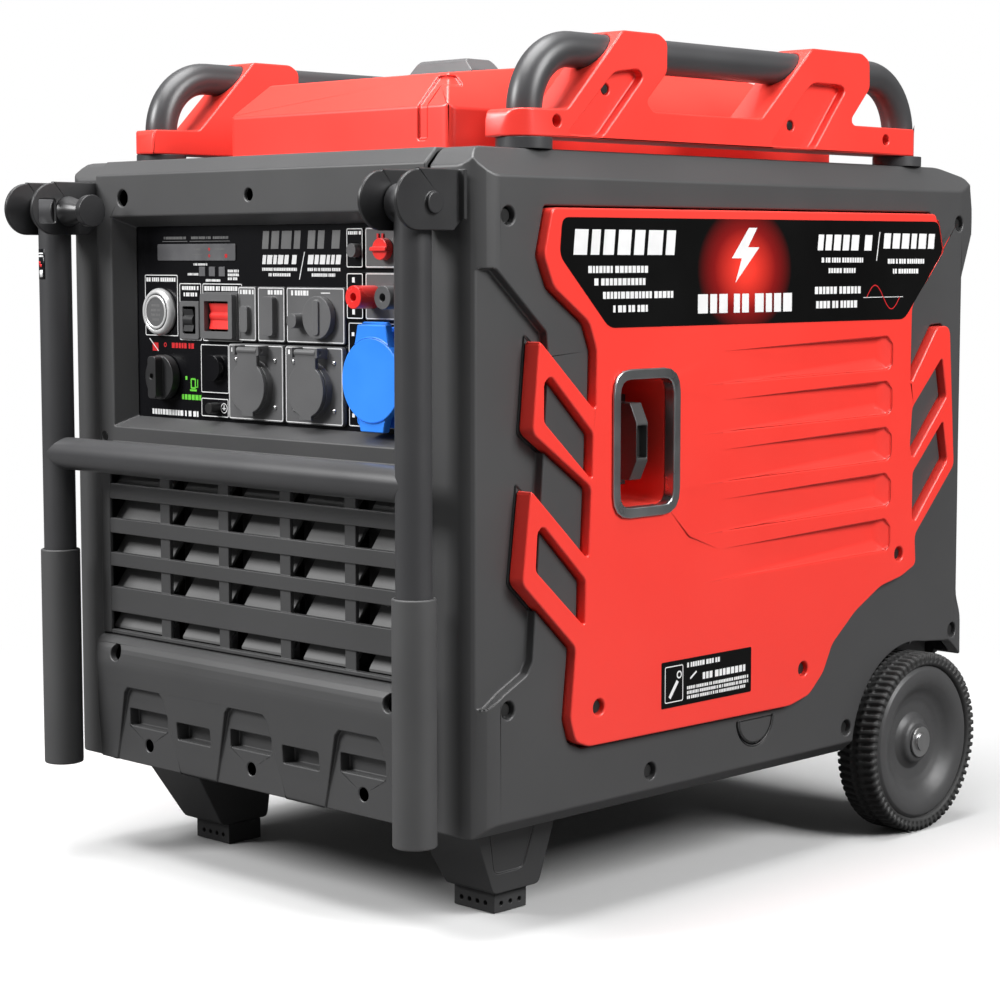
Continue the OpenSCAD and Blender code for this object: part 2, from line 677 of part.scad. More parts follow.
module fuel_tank() {
    color("#2f2f2f") difference() {
        union() {
            along_x(-180, 180, eased([[-190, 440], [220, 440], [240, 480], [240, 596], [-190, 596]], 18, 3));
            rod_z(590, neck_z, 0, cap_y, 34);
        }
        along_x(-176, 176, eased([[-186, 444], [217, 444], [236, 482], [236, 592], [-186, 592]], 15, 3));
        rod_z(580, 680, 0, cap_y, 29);
    }
}

module cap_gasket() {
    color(black) difference() {
        rod_z(neck_z + 0.3, neck_z + 3, 0, cap_y, 34);
        rod_z(660, 680, 0, cap_y, 27);
    }
}
module fuel_cap() {
    skirt_z = neck_z + 3.3;
    color("#3f3f3f") {
        difference() {
            union() {
                rod_z(skirt_z, 677, 0, cap_y, 49);
                translate([0, cap_y, 677]) cylinder(h = 4, r1 = 49, r2 = 43);
            }
            for (a = [0:20:340])
                translate([50.5 * cos(a), cap_y + 50.5 * sin(a), 660]) cylinder(h = 40, r = 3);
        }
        intersection() {
            along_x(-40, 40, [[cap_y - 19, 680], [cap_y - 17, 691], [cap_y - 14, 694], [cap_y + 14, 694],
                [cap_y + 17, 691], [cap_y + 19, 680]]);
            along_y(cap_y - 30, cap_y + 30, [[-38, 680], [-38, 684], [-28, 694], [28, 694], [38, 684], [38, 680]]);
        }
        rod_z(650, skirt_z, 0, cap_y, 26.5);
    }
}

// ---------- controls ----------
module bezel(x0, x1, z0, z1, y_out, t) {
    difference() {
        along_y(y_out, plate_y, frame_line(x0, x1, z0, z1, 2));
        along_y(y_out - 1, plate_y + 1, frame_line(x0 + t, x1 - t, z0 + t, z1 - t, 1.5));
    }
}

module outlet_bezels() {
    base = plate_y - 2;
    color("#3a3a3a") {
        bezel(-114, -88, 455, 487, base, 4.5);
        bezel(-79, -35, 455, 495, plate_y - 4, 5.5);
        for (x = [[-36, -13], [-11, 23]]) along_y(base, plate_y, frame_line(x[0], x[1], 455, 500, 2));
        along_y(plate_y - 6, base, frame_line(-30, -20, 462, 484, 4));
        along_y(plate_y - 7, base, frame_line(0, 13, 460, 492, 3));
        difference() {
            union() {
                along_y(base, plate_y, frame_line(25, 95, 455, 500, 2));
                rod_y(plate_y - 12, base, 42, 473, 6);
            }
            rod_y(-310, -270, 68, 476, 10);
        }
        along_y(base, plate_y, frame_line(-86, -48, 410, 452, 2));
        rod_y(plate_y - 9, base, -64, 432, 11);
        along_y(base, plate_y, frame_line(-86, -49, 390, 407, 2));
        along_y(base, plate_y, frame_line(97, 117, 475, 512, 2));
        along_y(base, plate_y, frame_line(119, 171, 475, 512, 2));
        difference() {
            along_y(base, plate_y, frame_line(119, 171, 515, 547, 2));
            rod_y(-300, -270, 143, 530, 4 + run_gap);
        }
        difference() {
            along_y(base, plate_y, frame_line(97, 117, 515, 547, 2));
            rod_y(-300, -270, 109, 529, 5.9);
        }
        difference() {
            rod_y(plate_y - 5, plate_y, -140.5, 477.5, 19.5);
            rod_y(-300, -270, -140.5, 477.5, start_r + 0.4);
        }
    }
}

module display_window() {
    color("#55575a") {
        along_y(plate_y - 1, plate_y, frame_line(-144, -40, 521, 535, 1.5));
        for (x = [-84, -71, -58]) box(x - 4, x + 4, plate_y - 1, plate_y, 508, 516);
    }
}

module earthed_sockets() {
    color("#333333") for (x = [-12, 60]) difference() {
        union() {
            along_y(plate_y - 4, plate_y, frame_line(x - 35, x + 35, 390, 453, 4));
            rod_y(plate_y - 10, plate_y - 4, x, 418, 22);
            rod_y(plate_y, plate_y + 26, x, 416, 20.4);
            for (s = [-1, 1]) box(x + s * 14.9 - 1.6, x + s * 14.9 + 1.6, plate_y - 15, plate_y - 4, 444, 452);
        }
        rod_x(x - 20, x + 20, plate_y - 11.9, lid_pin_z, 1.5 + run_gap);
        rod_y(plate_y - 20, plate_y + 12, x, 418, 18.5);
        for (s = [-1, 1], t = [-1, 1]) rod_y(-300, plate_y, x + s * 24.5, 421 + t * 19, 1.6);
    }
}

module blue_socket() {
    color("#2d86dc") difference() {
        union() {
            along_y(plate_y - 5, plate_y, frame_line(112, 171, 392, 470, 5));
            rod_y(plate_y - 11.5, plate_y - 5, blue_x, 429, 26.5);
            rod_y(plate_y, plate_y + 24, blue_x, 429, 24);
            box(blue_x - 14, blue_x + 14, plate_y - 10, plate_y - 5, 461, 467);
        }
        rod_y(plate_y - 30, plate_y + 16, blue_x, 429, 21);
    }
}

module parallel_posts() {
    color("#b02a2a") for (x = [129, 162]) difference() {
        rod_y(plate_y - 24, plate_y - 2, x, 493, 9);
        rod_y(plate_y - 30, plate_y - 8, x, 493, 3.2);
    }
}

module start_button() {
    color("#c9ccd0") rod_y(plate_y - 6.5, plate_y + 6, -140.5, 477.5, start_r);
}
module reset_button() {
    color("#333333") {
        rod_y(plate_y - 8, plate_y + 4, 109, 529, 5.4);
    }
}
// Rocker that tilts about an axis across the plate
module rocker(x0, x1, z0, z1, rise) {
    mid = (z0 + z1) / 2;
    rod_x(x0, x1, plate_y + 1, mid, 5);
    along_x(x0, x1, [[plate_y + 1, mid - 4], [plate_y - rise, z0 + 0.5], [plate_y - rise + 2.4, mid],
        [plate_y - rise, z1 - 0.5], [plate_y + 1, mid + 4]]);
}
module eco_rocker() { color("#4a4a4a") rocker(-107.5, -94.5, 461, 481, 3.4); }
module breaker_rocker() { color("#f4474a") rocker(-71.5, -42.5, 463.5, 486.5, 4.4); }

module fuel_tap_knob() {
    color("#2c2c2c") difference() {
        union() {
            rod_y(plate_y - 9, plate_y - 1, -134, 422, tap_r);
            along_y(plate_y - 17, plate_y - 9, frame_line(-139.5, -128.5, 404, 440, 4));
            rod_y(plate_y - 1, plate_y + 8, -134, 422, 4);
        }
        rod_y(plate_y - 20, plate_y - 14, -134, 423, 2.4);
    }
}
module selector_knob() {
    color(red) {
        rod_y(plate_y - 9, plate_y - 2.4, 143, 530, 8.5);
        along_y(plate_y - 11.5, plate_y - 9, frame_line(134, 152, 528.4, 531.6, 1.4));
        rod_y(plate_y - 3, plate_y + 8, 143, 530, 4);
    }
}

// Hinged lid of an earthed socket, with its pin across the top
module socket_lid(x) {
    rod_y(plate_y - 13.5, plate_y - 10.3, x, 418, 21.5);
    box(x - 12.5, x + 12.5, plate_y - 13.5, plate_y - 10.3, 400, 447);
    rod_x(x - 12.5, x + 12.5, plate_y - 11.9, lid_pin_z, 2.8);
    rod_x(x - 16, x + 16, plate_y - 11.9, lid_pin_z, 1.5);
    box(x - 7, x + 7, plate_y - 13.5, plate_y - 10.3, 394, 400);
}
module socket_lid_1() { color("#4d4d4d") socket_lid(-12); }
module socket_lid_2() { color("#4d4d4d") socket_lid(60); }

module blue_flap() {
    color("#3f9bff") {
        rod_y(plate_y - 20, plate_y - 12.4, blue_x, 429, 33);
        along_y(plate_y - 19, plate_y - 12.4, [[blue_x - 21, 452], [blue_x - 16, 472],
            [blue_x + 16, 472], [blue_x + 21, 452]]);
        along_y(plate_y - 19, plate_y - 12.4, [[blue_x - 18, 405], [blue_x - 13, 389],
            [blue_x + 13, 389], [blue_x + 18, 405]]);
        rod_x(blue_x - 14, blue_x + 14, plate_y - 13.4, 471, 3.2);
    }
}

module dc_cap() {
    color("#404040") {
        rod_y(plate_y - 8, plate_y - 2.4, 68, 476, 17);
        along_y(plate_y - 9.5, plate_y - 8, frame_line(64.5, 71.5, 462, 490, 3));
        rod_y(plate_y - 3, plate_y + 4, 68, 476, 9.4);
    }
}

// ---------- fasteners ----------
module cover_screws() {
    color("#7d7f82") {
        both() {
            for (p = shell_screws) rod_x(flat_x - 8, flat_x - 4, p[0], p[1], 5);
            for (p = panel_screws) rod_x(panel_x - 7, panel_x - 4, p[0], p[1], 5);
            for (p = rail_screws) rod_x(231, 234, p[0], p[1], 3.6);
        }
        rod_y(plate_y - 12, plate_y - 2, -64, 398.5, 4.5);
        both() rod_y(face_y + 0.5, face_y + 2, 197, 369, 3.4);
    }
}

base_pan();
side_shell_right();
side_shell_left();
front_cover();
top_deck();
rear_cover();
control_plate();
front_grille();
grille_backing();
bumper();
tank_cover();
side_panel_right();
side_panel_left();
starter_recess();
recess_frame();
recoil_housing();
fuel_tank();
top_rails();
carry_tubes();
handle_brackets();
support_legs();
foot_pads();
axle();
outlet_bezels();
display_window();
earthed_sockets();
blue_socket();
parallel_posts();
cover_screws();
engine_block();
muffler();
air_cleaner();
inverter_module();
battery();
handle_legs();
handle_crossbar();
handle_grips();
lock_knob_right();
lock_knob_left();
tyre_right();
hub_right();
tyre_left();
hub_left();
starter_grip();
starter_rope();
recoil_pulley();
crankshaft();
rotor_fan();
fuel_cap();
cap_gasket();
start_button();
eco_rocker();
breaker_rocker();
fuel_tap_knob();
selector_knob();
reset_button();
socket_lid_1();
socket_lid_2();
blue_flap();
dc_cap();
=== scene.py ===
import math

import bmesh
import bpy
import numpy as np
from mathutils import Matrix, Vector


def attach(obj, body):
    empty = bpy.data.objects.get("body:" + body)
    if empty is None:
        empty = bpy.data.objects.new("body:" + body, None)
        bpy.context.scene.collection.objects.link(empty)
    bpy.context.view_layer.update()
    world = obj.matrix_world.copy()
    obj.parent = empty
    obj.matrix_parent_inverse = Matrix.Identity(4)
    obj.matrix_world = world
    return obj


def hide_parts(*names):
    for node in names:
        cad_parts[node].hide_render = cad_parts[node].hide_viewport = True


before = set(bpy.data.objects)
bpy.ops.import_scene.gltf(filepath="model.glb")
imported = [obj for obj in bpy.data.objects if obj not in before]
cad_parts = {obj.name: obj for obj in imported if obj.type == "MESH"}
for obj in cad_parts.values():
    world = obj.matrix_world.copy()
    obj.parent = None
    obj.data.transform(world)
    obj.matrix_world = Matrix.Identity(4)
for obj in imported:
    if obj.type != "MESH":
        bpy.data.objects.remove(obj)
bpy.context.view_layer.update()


# ---------------------------------------------------------------------------
# Studio: a plain pale sweep, a white surround and soft boxes, with the camera
# low in front of the right-hand corner between the panel and the red cover.
# ---------------------------------------------------------------------------
camera_data = bpy.data.cameras.new("camera")
camera_data.sensor_width = 36
camera_data.lens = 86.654
camera_data.clip_end = 200
camera = bpy.data.objects.new("camera", camera_data)
camera.location = (1.50864, -1.55985, 0.52141)
camera.rotation_mode = "QUATERNION"
camera.rotation_quaternion = Vector((-0.69409, 0.71303, -0.09914)).to_track_quat("-Z", "Y")
bpy.context.scene.collection.objects.link(camera)
bpy.context.scene.camera = camera

surround = bpy.data.worlds.new("surround")
surround.use_nodes = True
glow, wires = surround.node_tree.nodes, surround.node_tree.links.new
seen = glow["Background"]
seen.inputs["Color"].default_value = (1, 1, 1, 1)
seen.inputs["Strength"].default_value = 1.0
lit = glow.new("ShaderNodeBackground")
lit.inputs["Color"].default_value = (1, 1, 1, 1)
lit.inputs["Strength"].default_value = 0.14
ray, choose = glow.new("ShaderNodeLightPath"), glow.new("ShaderNodeMixShader")
wires(ray.outputs["Is Camera Ray"], choose.inputs[0])
wires(lit.outputs[0], choose.inputs[1])
wires(seen.outputs[0], choose.inputs[2])
wires(choose.outputs[0], glow["World Output"].inputs["Surface"])
bpy.context.scene.world = surround
bpy.context.scene.view_settings.view_transform = "Standard"


def soft_box(name, place, aim, size, watts):
    """A square area lamp at `place`, turned to `aim`, with an edge of `size` metres."""
    lamp = bpy.data.lights.new(name, "AREA")
    lamp.shape = "SQUARE"
    lamp.size = size
    lamp.energy = watts
    thing = bpy.data.objects.new(name, lamp)
    thing.location = place
    turn = (Vector(aim) - Vector(place)).to_track_quat("-Z", "Y")
    thing.rotation_euler = turn.to_euler()
    bpy.context.scene.collection.objects.link(thing)


soft_box("overhead_box", (-0.1, -0.5, 2.8), (0, 0, 0.3), 2.0, 124)
soft_box("side_box", (2.6, 0.5, 2.0), (0.1, 0, 0.35), 1.4, 108)
soft_box("front_box", (-1.0, -2.1, 1.7), (0, -0.3, 0.45), 0.9, 72)


def floor_sweep(half, rows=48):
    """A level square grid of side 2*half metres, as rows x rows quads at z = 0."""
    side = np.linspace(-half, half, rows + 1)
    u, v = np.meshgrid(side, side)
    points = np.stack([u, v, np.zeros_like(u)], -1).reshape(-1, 3)
    k = np.arange(rows * (rows + 1)).reshape(rows, rows + 1)[:, :-1].ravel()
    quads = np.stack([k, k + 1, k + rows + 2, k + rows + 1], 1)
    mesh = bpy.data.meshes.new("floor")
    mesh.from_pydata(points.tolist(), [], quads.tolist())
    thing = bpy.data.objects.new("floor", mesh)
    bpy.context.scene.collection.objects.link(thing)
    return thing


floor = floor_sweep(60.0)
floor.location = (0, 0, -0.0005)
paper = bpy.data.materials.new("floor_paper")
paper.use_nodes = True
sheet, wires = paper.node_tree.nodes, paper.node_tree.links.new
near = sheet["Principled BSDF"]
near.inputs["Roughness"].default_value = 0.7
near.inputs["Specular IOR Level"].default_value = 0.1
place, spread, fade = (sheet.new("ShaderNodeTexCoord"), sheet.new("ShaderNodeVectorMath"),
                       sheet.new("ShaderNodeMapRange"))
spread.operation = "LENGTH"
fade.interpolation_type = "SMOOTHSTEP"
fade.inputs["From Min"].default_value = 0.55
fade.inputs["From Max"].default_value = 1.25
wires(place.outputs["Object"], spread.inputs[0])
wires(spread.outputs["Value"], fade.inputs["Value"])
ray, only_seen, tone = (sheet.new("ShaderNodeLightPath"), sheet.new("ShaderNodeMath"),
                        sheet.new("ShaderNodeMix"))
only_seen.operation = "MULTIPLY"
wires(ray.outputs["Is Camera Ray"], only_seen.inputs[0])
wires(fade.outputs["Result"], only_seen.inputs[1])
tone.data_type = "RGBA"
tone.inputs["A"].default_value = (0.14, 0.14, 0.14, 1)
tone.inputs["B"].default_value = (0.68, 0.68, 0.68, 1)
wires(ray.outputs["Is Camera Ray"], tone.inputs["Factor"])
wires(tone.outputs["Result"], near.inputs["Base Color"])
white, join = sheet.new("ShaderNodeEmission"), sheet.new("ShaderNodeMixShader")
wires(only_seen.outputs[0], join.inputs[0])
wires(near.outputs[0], join.inputs[1])
wires(white.outputs[0], join.inputs[2])
wires(join.outputs[0], sheet["Material Output"].inputs["Surface"])
floor.data.materials.append(paper)


# ---------------------------------------------------------------------------
# Base pan, axle and front feet: a folded steel pan painted satin black, a
# zinc-plated axle, and two moulded legs that end in drilled rubber pads.
# ---------------------------------------------------------------------------
def finish_group():
    """Moulding or paint that isn't perfectly even.

    Colour moves between Colour and Patch Colour by a slow cloud of noise, and towards
    the dust colour on faces that look up: partly settled dust, partly painted top light
    that makes the tops lighter. Roughness swings by Spread about its middle with the same
    cloud. Height is a fine grain for a Bump node.
    """
    g = bpy.data.node_groups.new("uneven_finish", "ShaderNodeTree")
    sock = g.interface.new_socket
    for name, kind, value in (
        ("Colour", "NodeSocketColor", (0.05, 0.05, 0.05, 1)),
        ("Patch Colour", "NodeSocketColor", (0.06, 0.06, 0.06, 1)),
        ("Dust And Top Light", "NodeSocketColor", (0.3, 0.3, 0.3, 1)),
        ("Dust And Top Light Amount", "NodeSocketFloat", 0.1),
        ("Patch Size", "NodeSocketFloat", 9.0),
        ("Grain Size", "NodeSocketFloat", 900.0),
        ("Roughness", "NodeSocketFloat", 0.5),
        ("Spread", "NodeSocketFloat", 0.1),
    ):
        s = sock(name=name, in_out="INPUT", socket_type=kind)
        s.default_value = value
    sock(name="Colour", in_out="OUTPUT", socket_type="NodeSocketColor")
    sock(name="Roughness", in_out="OUTPUT", socket_type="NodeSocketFloat")
    sock(name="Height", in_out="OUTPUT", socket_type="NodeSocketFloat")
    n, link = g.nodes, g.links.new
    given, out = n.new("NodeGroupInput"), n.new("NodeGroupOutput")
    where = n.new("ShaderNodeTexCoord")
    cloud = n.new("ShaderNodeTexNoise")
    cloud.inputs["Detail"].default_value = 4.0
    cloud.inputs["Roughness"].default_value = 0.55
    link(where.outputs["Object"], cloud.inputs["Vector"])
    link(given.outputs["Patch Size"], cloud.inputs["Scale"])
    grain = n.new("ShaderNodeTexNoise")
    grain.inputs["Detail"].default_value = 2.0
    link(where.outputs["Object"], grain.inputs["Vector"])
    link(given.outputs["Grain Size"], grain.inputs["Scale"])
    level = n.new("ShaderNodeMapRange")
    level.inputs["From Min"].default_value = 0.32
    level.inputs["From Max"].default_value = 0.68
    link(cloud.outputs["Fac"], level.inputs["Value"])
    patch = n.new("ShaderNodeMix")
    patch.data_type = "RGBA"
    link(level.outputs["Result"], patch.inputs["Factor"])
    link(given.outputs["Colour"], patch.inputs["A"])
    link(given.outputs["Patch Colour"], patch.inputs["B"])
    # Up-facing faces move towards the dust colour: partly settled dust, partly painted top light
    # that lightens the tops.
    facing = n.new("ShaderNodeNewGeometry")
    upward = n.new("ShaderNodeSeparateXYZ")
    link(facing.outputs["Normal"], upward.inputs[0])
    lie = n.new("ShaderNodeMapRange")
    lie.inputs["From Min"].default_value = 0.55
    lie.inputs["From Max"].default_value = 1.0
    link(upward.outputs["Z"], lie.inputs["Value"])
    dust_and_top_light_factor = n.new("ShaderNodeMath")
    dust_and_top_light_factor.operation = "MULTIPLY"
    link(lie.outputs["Result"], dust_and_top_light_factor.inputs[0])
    link(given.outputs["Dust And Top Light Amount"], dust_and_top_light_factor.inputs[1])
    dust_and_top_light = n.new("ShaderNodeMix")
    dust_and_top_light.data_type = "RGBA"
    link(dust_and_top_light_factor.outputs[0], dust_and_top_light.inputs["Factor"])
    link(patch.outputs["Result"], dust_and_top_light.inputs["A"])
    link(given.outputs["Dust And Top Light"], dust_and_top_light.inputs["B"])
    link(dust_and_top_light.outputs["Result"], out.inputs["Colour"])
    centred = n.new("ShaderNodeMath")
    centred.operation = "SUBTRACT"
    link(level.outputs["Result"], centred.inputs[0])
    centred.inputs[1].default_value = 0.5
    swing = n.new("ShaderNodeMath")
    swing.operation = "MULTIPLY_ADD"
    link(centred.outputs[0], swing.inputs[0])
    link(given.outputs["Spread"], swing.inputs[1])
    link(given.outputs["Roughness"], swing.inputs[2])
    link(swing.outputs[0], out.inputs["Roughness"])
    link(grain.outputs["Fac"], out.inputs["Height"])
    return g


uneven_finish = finish_group()


def even_out(name, colour, patch, rough, spread=0.1, grain=900.0, bump=0.12, patch_size=9.0,
             dust_and_top_light=0.1, dust_and_top_light_colour=(0.3, 0.3, 0.3), metal=0.0, coat=0.0, coat_rough=0.1,
             specular=0.5):
    """A finish made of the uneven_finish group on one Principled shader."""
    m = bpy.data.materials.new(name)
    m.use_nodes = True
    n, link = m.node_tree.nodes, m.node_tree.links.new
    shader = n["Principled BSDF"]
    g = n.new("ShaderNodeGroup")
    g.node_tree = uneven_finish
    g.inputs["Colour"].default_value = (*colour, 1)
    g.inputs["Patch Colour"].default_value = (*patch, 1)
    g.inputs["Dust And Top Light"].default_value = (*dust_and_top_light_colour, 1)
    g.inputs["Dust And Top Light Amount"].default_value = dust_and_top_light
    g.inputs["Patch Size"].default_value = patch_size
    g.inputs["Grain Size"].default_value = grain
    g.inputs["Roughness"].default_value = rough
    g.inputs["Spread"].default_value = spread
    link(g.outputs["Colour"], shader.inputs["Base Color"])
    link(g.outputs["Roughness"], shader.inputs["Roughness"])
    relief = n.new("ShaderNodeBump")
    relief.inputs["Strength"].default_value = bump
    relief.inputs["Distance"].default_value = 0.0004
    link(g.outputs["Height"], relief.inputs["Height"])
    link(relief.outputs["Normal"], shader.inputs["Normal"])
    shader.inputs["Metallic"].default_value = metal
    shader.inputs["Coat Weight"].default_value = coat
    shader.inputs["Coat Roughness"].default_value = coat_rough
    shader.inputs["Specular IOR Level"].default_value = specular
    return m


def welded(node):
    """The CAD node's mesh with shared points: points within 2 micrometres become one."""
    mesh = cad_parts[node].data
    co = np.zeros(len(mesh.vertices) * 3)
    mesh.vertices.foreach_get("co", co)
    tri = np.zeros(len(mesh.loops), int)
    mesh.loops.foreach_get("vertex_index", tri)
    cell = np.round(co.reshape(-1, 3) / 2e-6).astype(np.int64)
    _, first, same = np.unique(cell, axis=0, return_index=True, return_inverse=True)
    tri = same.ravel()[tri].reshape(-1, 3)
    whole = (tri[:, 0] != tri[:, 1]) & (tri[:, 1] != tri[:, 2]) & (tri[:, 0] != tri[:, 2])
    return co.reshape(-1, 3)[first], tri[whole]


def eased(node, body, finish, edge, steps=2, sharp=30.0, other=None, where=None):
    """A moulded or pressed part with eased edges.

    The node's flat areas become convex faces, every edge that turns by more than `sharp`
    degrees is rounded by `edge` metres, and the shading follows the larger faces. Faces
    whose centres (an n x 3 array, in metres) pass the test `where` take the finish `other`.
    """
    points, tri = welded(node)
    mesh = bpy.data.meshes.new(node + "_finished")
    mesh.from_pydata(points.tolist(), [], tri.tolist())
    flat = bmesh.new()
    flat.from_mesh(mesh)
    bmesh.ops.dissolve_limit(flat, angle_limit=math.radians(0.1), verts=flat.verts,
                             edges=flat.edges, use_dissolve_boundaries=False)
    bmesh.ops.connect_verts_concave(flat, faces=flat.faces)
    for f in flat.faces:
        f.smooth = True
    flat.to_mesh(mesh)
    flat.free()
    piece = bpy.data.objects.new(mesh.name, mesh)
    bpy.context.scene.collection.objects.link(piece)
    mesh.materials.append(finish)
    if other:
        mesh.materials.append(other)
        middle = np.zeros(len(mesh.polygons) * 3)
        mesh.polygons.foreach_get("center", middle)
        chosen = where(middle.reshape(-1, 3)).astype(int)
        mesh.polygons.foreach_set("material_index", chosen)
    if edge:
        ease = piece.modifiers.new("ease", "BEVEL")
        ease.width = edge
        ease.segments = steps
        ease.limit_method = "ANGLE"
        ease.angle_limit = math.radians(sharp)
        ease.use_clamp_overlap = False
        ease.miter_outer = "MITER_ARC"
        ease.face_strength_mode = "FSTR_ALL"
        ease.loop_slide = False
    shade = piece.modifiers.new("shade", "WEIGHTED_NORMAL")
    shade.weight = 60
    shade.use_face_influence = bool(edge)
    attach(piece, body)
    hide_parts(node)
    return piece


pan_paint = even_out("pan_paint", (0.016, 0.016, 0.017), (0.022, 0.022, 0.023), rough=0.42)
zinc = even_out("zinc_plate", (0.42, 0.42, 0.43), (0.55, 0.55, 0.54), rough=0.32, spread=0.12,
                grain=1500, bump=0.05, patch_size=30, metal=1.0)
grey_moulding = even_out("grey_moulding", (0.050, 0.050, 0.051), (0.056, 0.056, 0.057), rough=0.44,
                         spread=0.06, grain=1400, bump=0.10, patch_size=6, dust_and_top_light=0.06)
soft_rubber = even_out("soft_rubber", (0.030, 0.030, 0.031), (0.040, 0.040, 0.041), rough=0.62,
                       spread=0.1, grain=1600, bump=0.15, patch_size=20)
eased("base_pan", "chassis", pan_paint, 0.0008)
eased("axle", "chassis", zinc, 0.0004)
eased("support_legs", "chassis", grey_moulding, 0.0012)
eased("foot_pads", "chassis", soft_rubber, 0.0006)


# ---------------------------------------------------------------------------
# The machine inside: cast engine and recoil parts, sheet-metal muffler, moulded
# air cleaner, fuel tank and battery, and the finned inverter. Seen through gaps.
# ---------------------------------------------------------------------------
cast = even_out("cast_metal", (0.30, 0.31, 0.32), (0.42, 0.43, 0.44), rough=0.48, spread=0.15,
                grain=500, bump=0.4, patch_size=25, metal=1.0)
heated_sheet = even_out("heated_sheet", (0.22, 0.19, 0.16), (0.34, 0.31, 0.28), rough=0.4,
                        spread=0.2, grain=700, bump=0.1, patch_size=14, metal=1.0)
black_moulding = even_out("black_moulding", (0.014, 0.014, 0.015), (0.019, 0.019, 0.020),
                          rough=0.38, spread=0.08, grain=1300, bump=0.08, patch_size=12)
tank_moulding = even_out("tank_moulding", (0.022, 0.022, 0.022), (0.03, 0.03, 0.03), rough=0.55)
rope_weave = even_out("rope_weave", (0.45, 0.41, 0.31), (0.62, 0.58, 0.46), rough=0.85,
                      spread=0.05, grain=2500, bump=0.9, patch_size=160)


def carried(finish, *nodes):
    """CAD nodes whose shape stays as it is, with a new finish."""
    for node in nodes:
        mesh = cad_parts[node].data
        mesh.materials.clear()
        mesh.materials.append(finish)


carried(cast, "engine_block", "recoil_pulley", "inverter_module", "rotor_fan")
carried(zinc, "crankshaft")
carried(heated_sheet, "muffler")
carried(black_moulding, "air_cleaner", "battery", "recoil_housing")
carried(tank_moulding, "fuel_tank")
carried(rope_weave, "starter_rope")


# ---------------------------------------------------------------------------
# Covers: two deep side shells, a front and a rear cover and a top deck, all
# injection-moulded in dark grey with a fine satin texture and screwed together.
# ---------------------------------------------------------------------------
eased("side_shell_right", "chassis", grey_moulding, 0.0016)
eased("side_shell_left", "chassis", grey_moulding, 0.0016)
eased("front_cover", "chassis", grey_moulding, 0.0014)
eased("rear_cover", "chassis", grey_moulding, 0.0014)
eased("top_deck", "chassis", grey_moulding, 0.0012)
dark_screw = even_out("dark_screw", (0.010, 0.010, 0.010), (0.016, 0.016, 0.016), rough=0.35,
                      spread=0.1, grain=1200, bump=0.05, patch_size=60, dust_and_top_light=0.0)
eased("cover_screws", "chassis", dark_screw, 0.0003)


# ---------------------------------------------------------------------------
# Front grille: moulded bars in front of a lighter louvred backing, with the
# sloped bumper moulding across the bottom.
# ---------------------------------------------------------------------------
backing = even_out("backing_moulding", (0.13, 0.13, 0.13), (0.16, 0.16, 0.16), rough=0.5,
                   spread=0.08, grain=1200, bump=0.1, patch_size=10)
eased("front_grille", "chassis", grey_moulding, 0.0008)
# Faces set back past y = -274.5 mm, the deep ties seen through the slots, take black_moulding:
# this black is painted shade.
eased("grille_backing", "chassis", backing, 0.0005, other=black_moulding,
      where=lambda c: c[:, 1] > -0.2745)
eased("bumper", "chassis", grey_moulding, 0.0012)


# ---------------------------------------------------------------------------
# Control plate: a black printed sheet with its switches, meters and sockets,
# clipped into the front cover. Print is laid on as thin raised ink.
# ---------------------------------------------------------------------------
plate_y = -281.0        # the sheet's face, in mm
bezel_out = 2.0         # how far the bezels stand out of it
flange_out = 4.0        # how far the sockets' flanges stand out of it
film_ink = 0.10         # thickness of the ink on them
gloss_sheet = even_out("panel_sheet", (0.004, 0.004, 0.005), (0.006, 0.006, 0.007), rough=0.24,
                       spread=0.06, grain=1800, bump=0.03, patch_size=8, dust_and_top_light=0.0, specular=0.25)
socket_grey = even_out("socket_moulding", (0.092, 0.092, 0.094), (0.106, 0.106, 0.108), rough=0.40,
                       spread=0.08, grain=1500, bump=0.08, patch_size=20)
smoked_window = even_out("smoked_window", (0.10, 0.10, 0.105), (0.14, 0.14, 0.145), rough=0.3,
                         spread=0.05, grain=1800, bump=0.03, patch_size=40)
blue_moulding = even_out("blue_moulding", (0.024, 0.22, 0.90), (0.034, 0.26, 0.94), rough=0.34,
                         spread=0.06, grain=1500, bump=0.05, patch_size=14, dust_and_top_light=0.03)
red_knob_finish = even_out("red_knob_moulding", (0.72, 0.025, 0.022), (0.8, 0.04, 0.035),
                           rough=0.28, spread=0.06, grain=1500, bump=0.04, patch_size=30,
                           dust_and_top_light=0.03)
satin_chrome = even_out("satin_chrome", (0.55, 0.55, 0.56), (0.68, 0.68, 0.68), rough=0.22,
                        spread=0.08, grain=1600, bump=0.03, patch_size=60, metal=1.0)
grey_post = even_out("grey_post_moulding", (0.075, 0.075, 0.078), (0.09, 0.09, 0.092), rough=0.34,
                     spread=0.06, grain=1500, bump=0.05, patch_size=30)


def on_black(c):
    """Bezels that are printed black: the port, the earth point and the reset column."""
    port = (c[:, 0] > -0.087) & (c[:, 0] < -0.0475) & (c[:, 2] < 0.4535)
    column = (c[:, 0] > 0.0965) & (c[:, 0] < 0.1175)
    return port | column


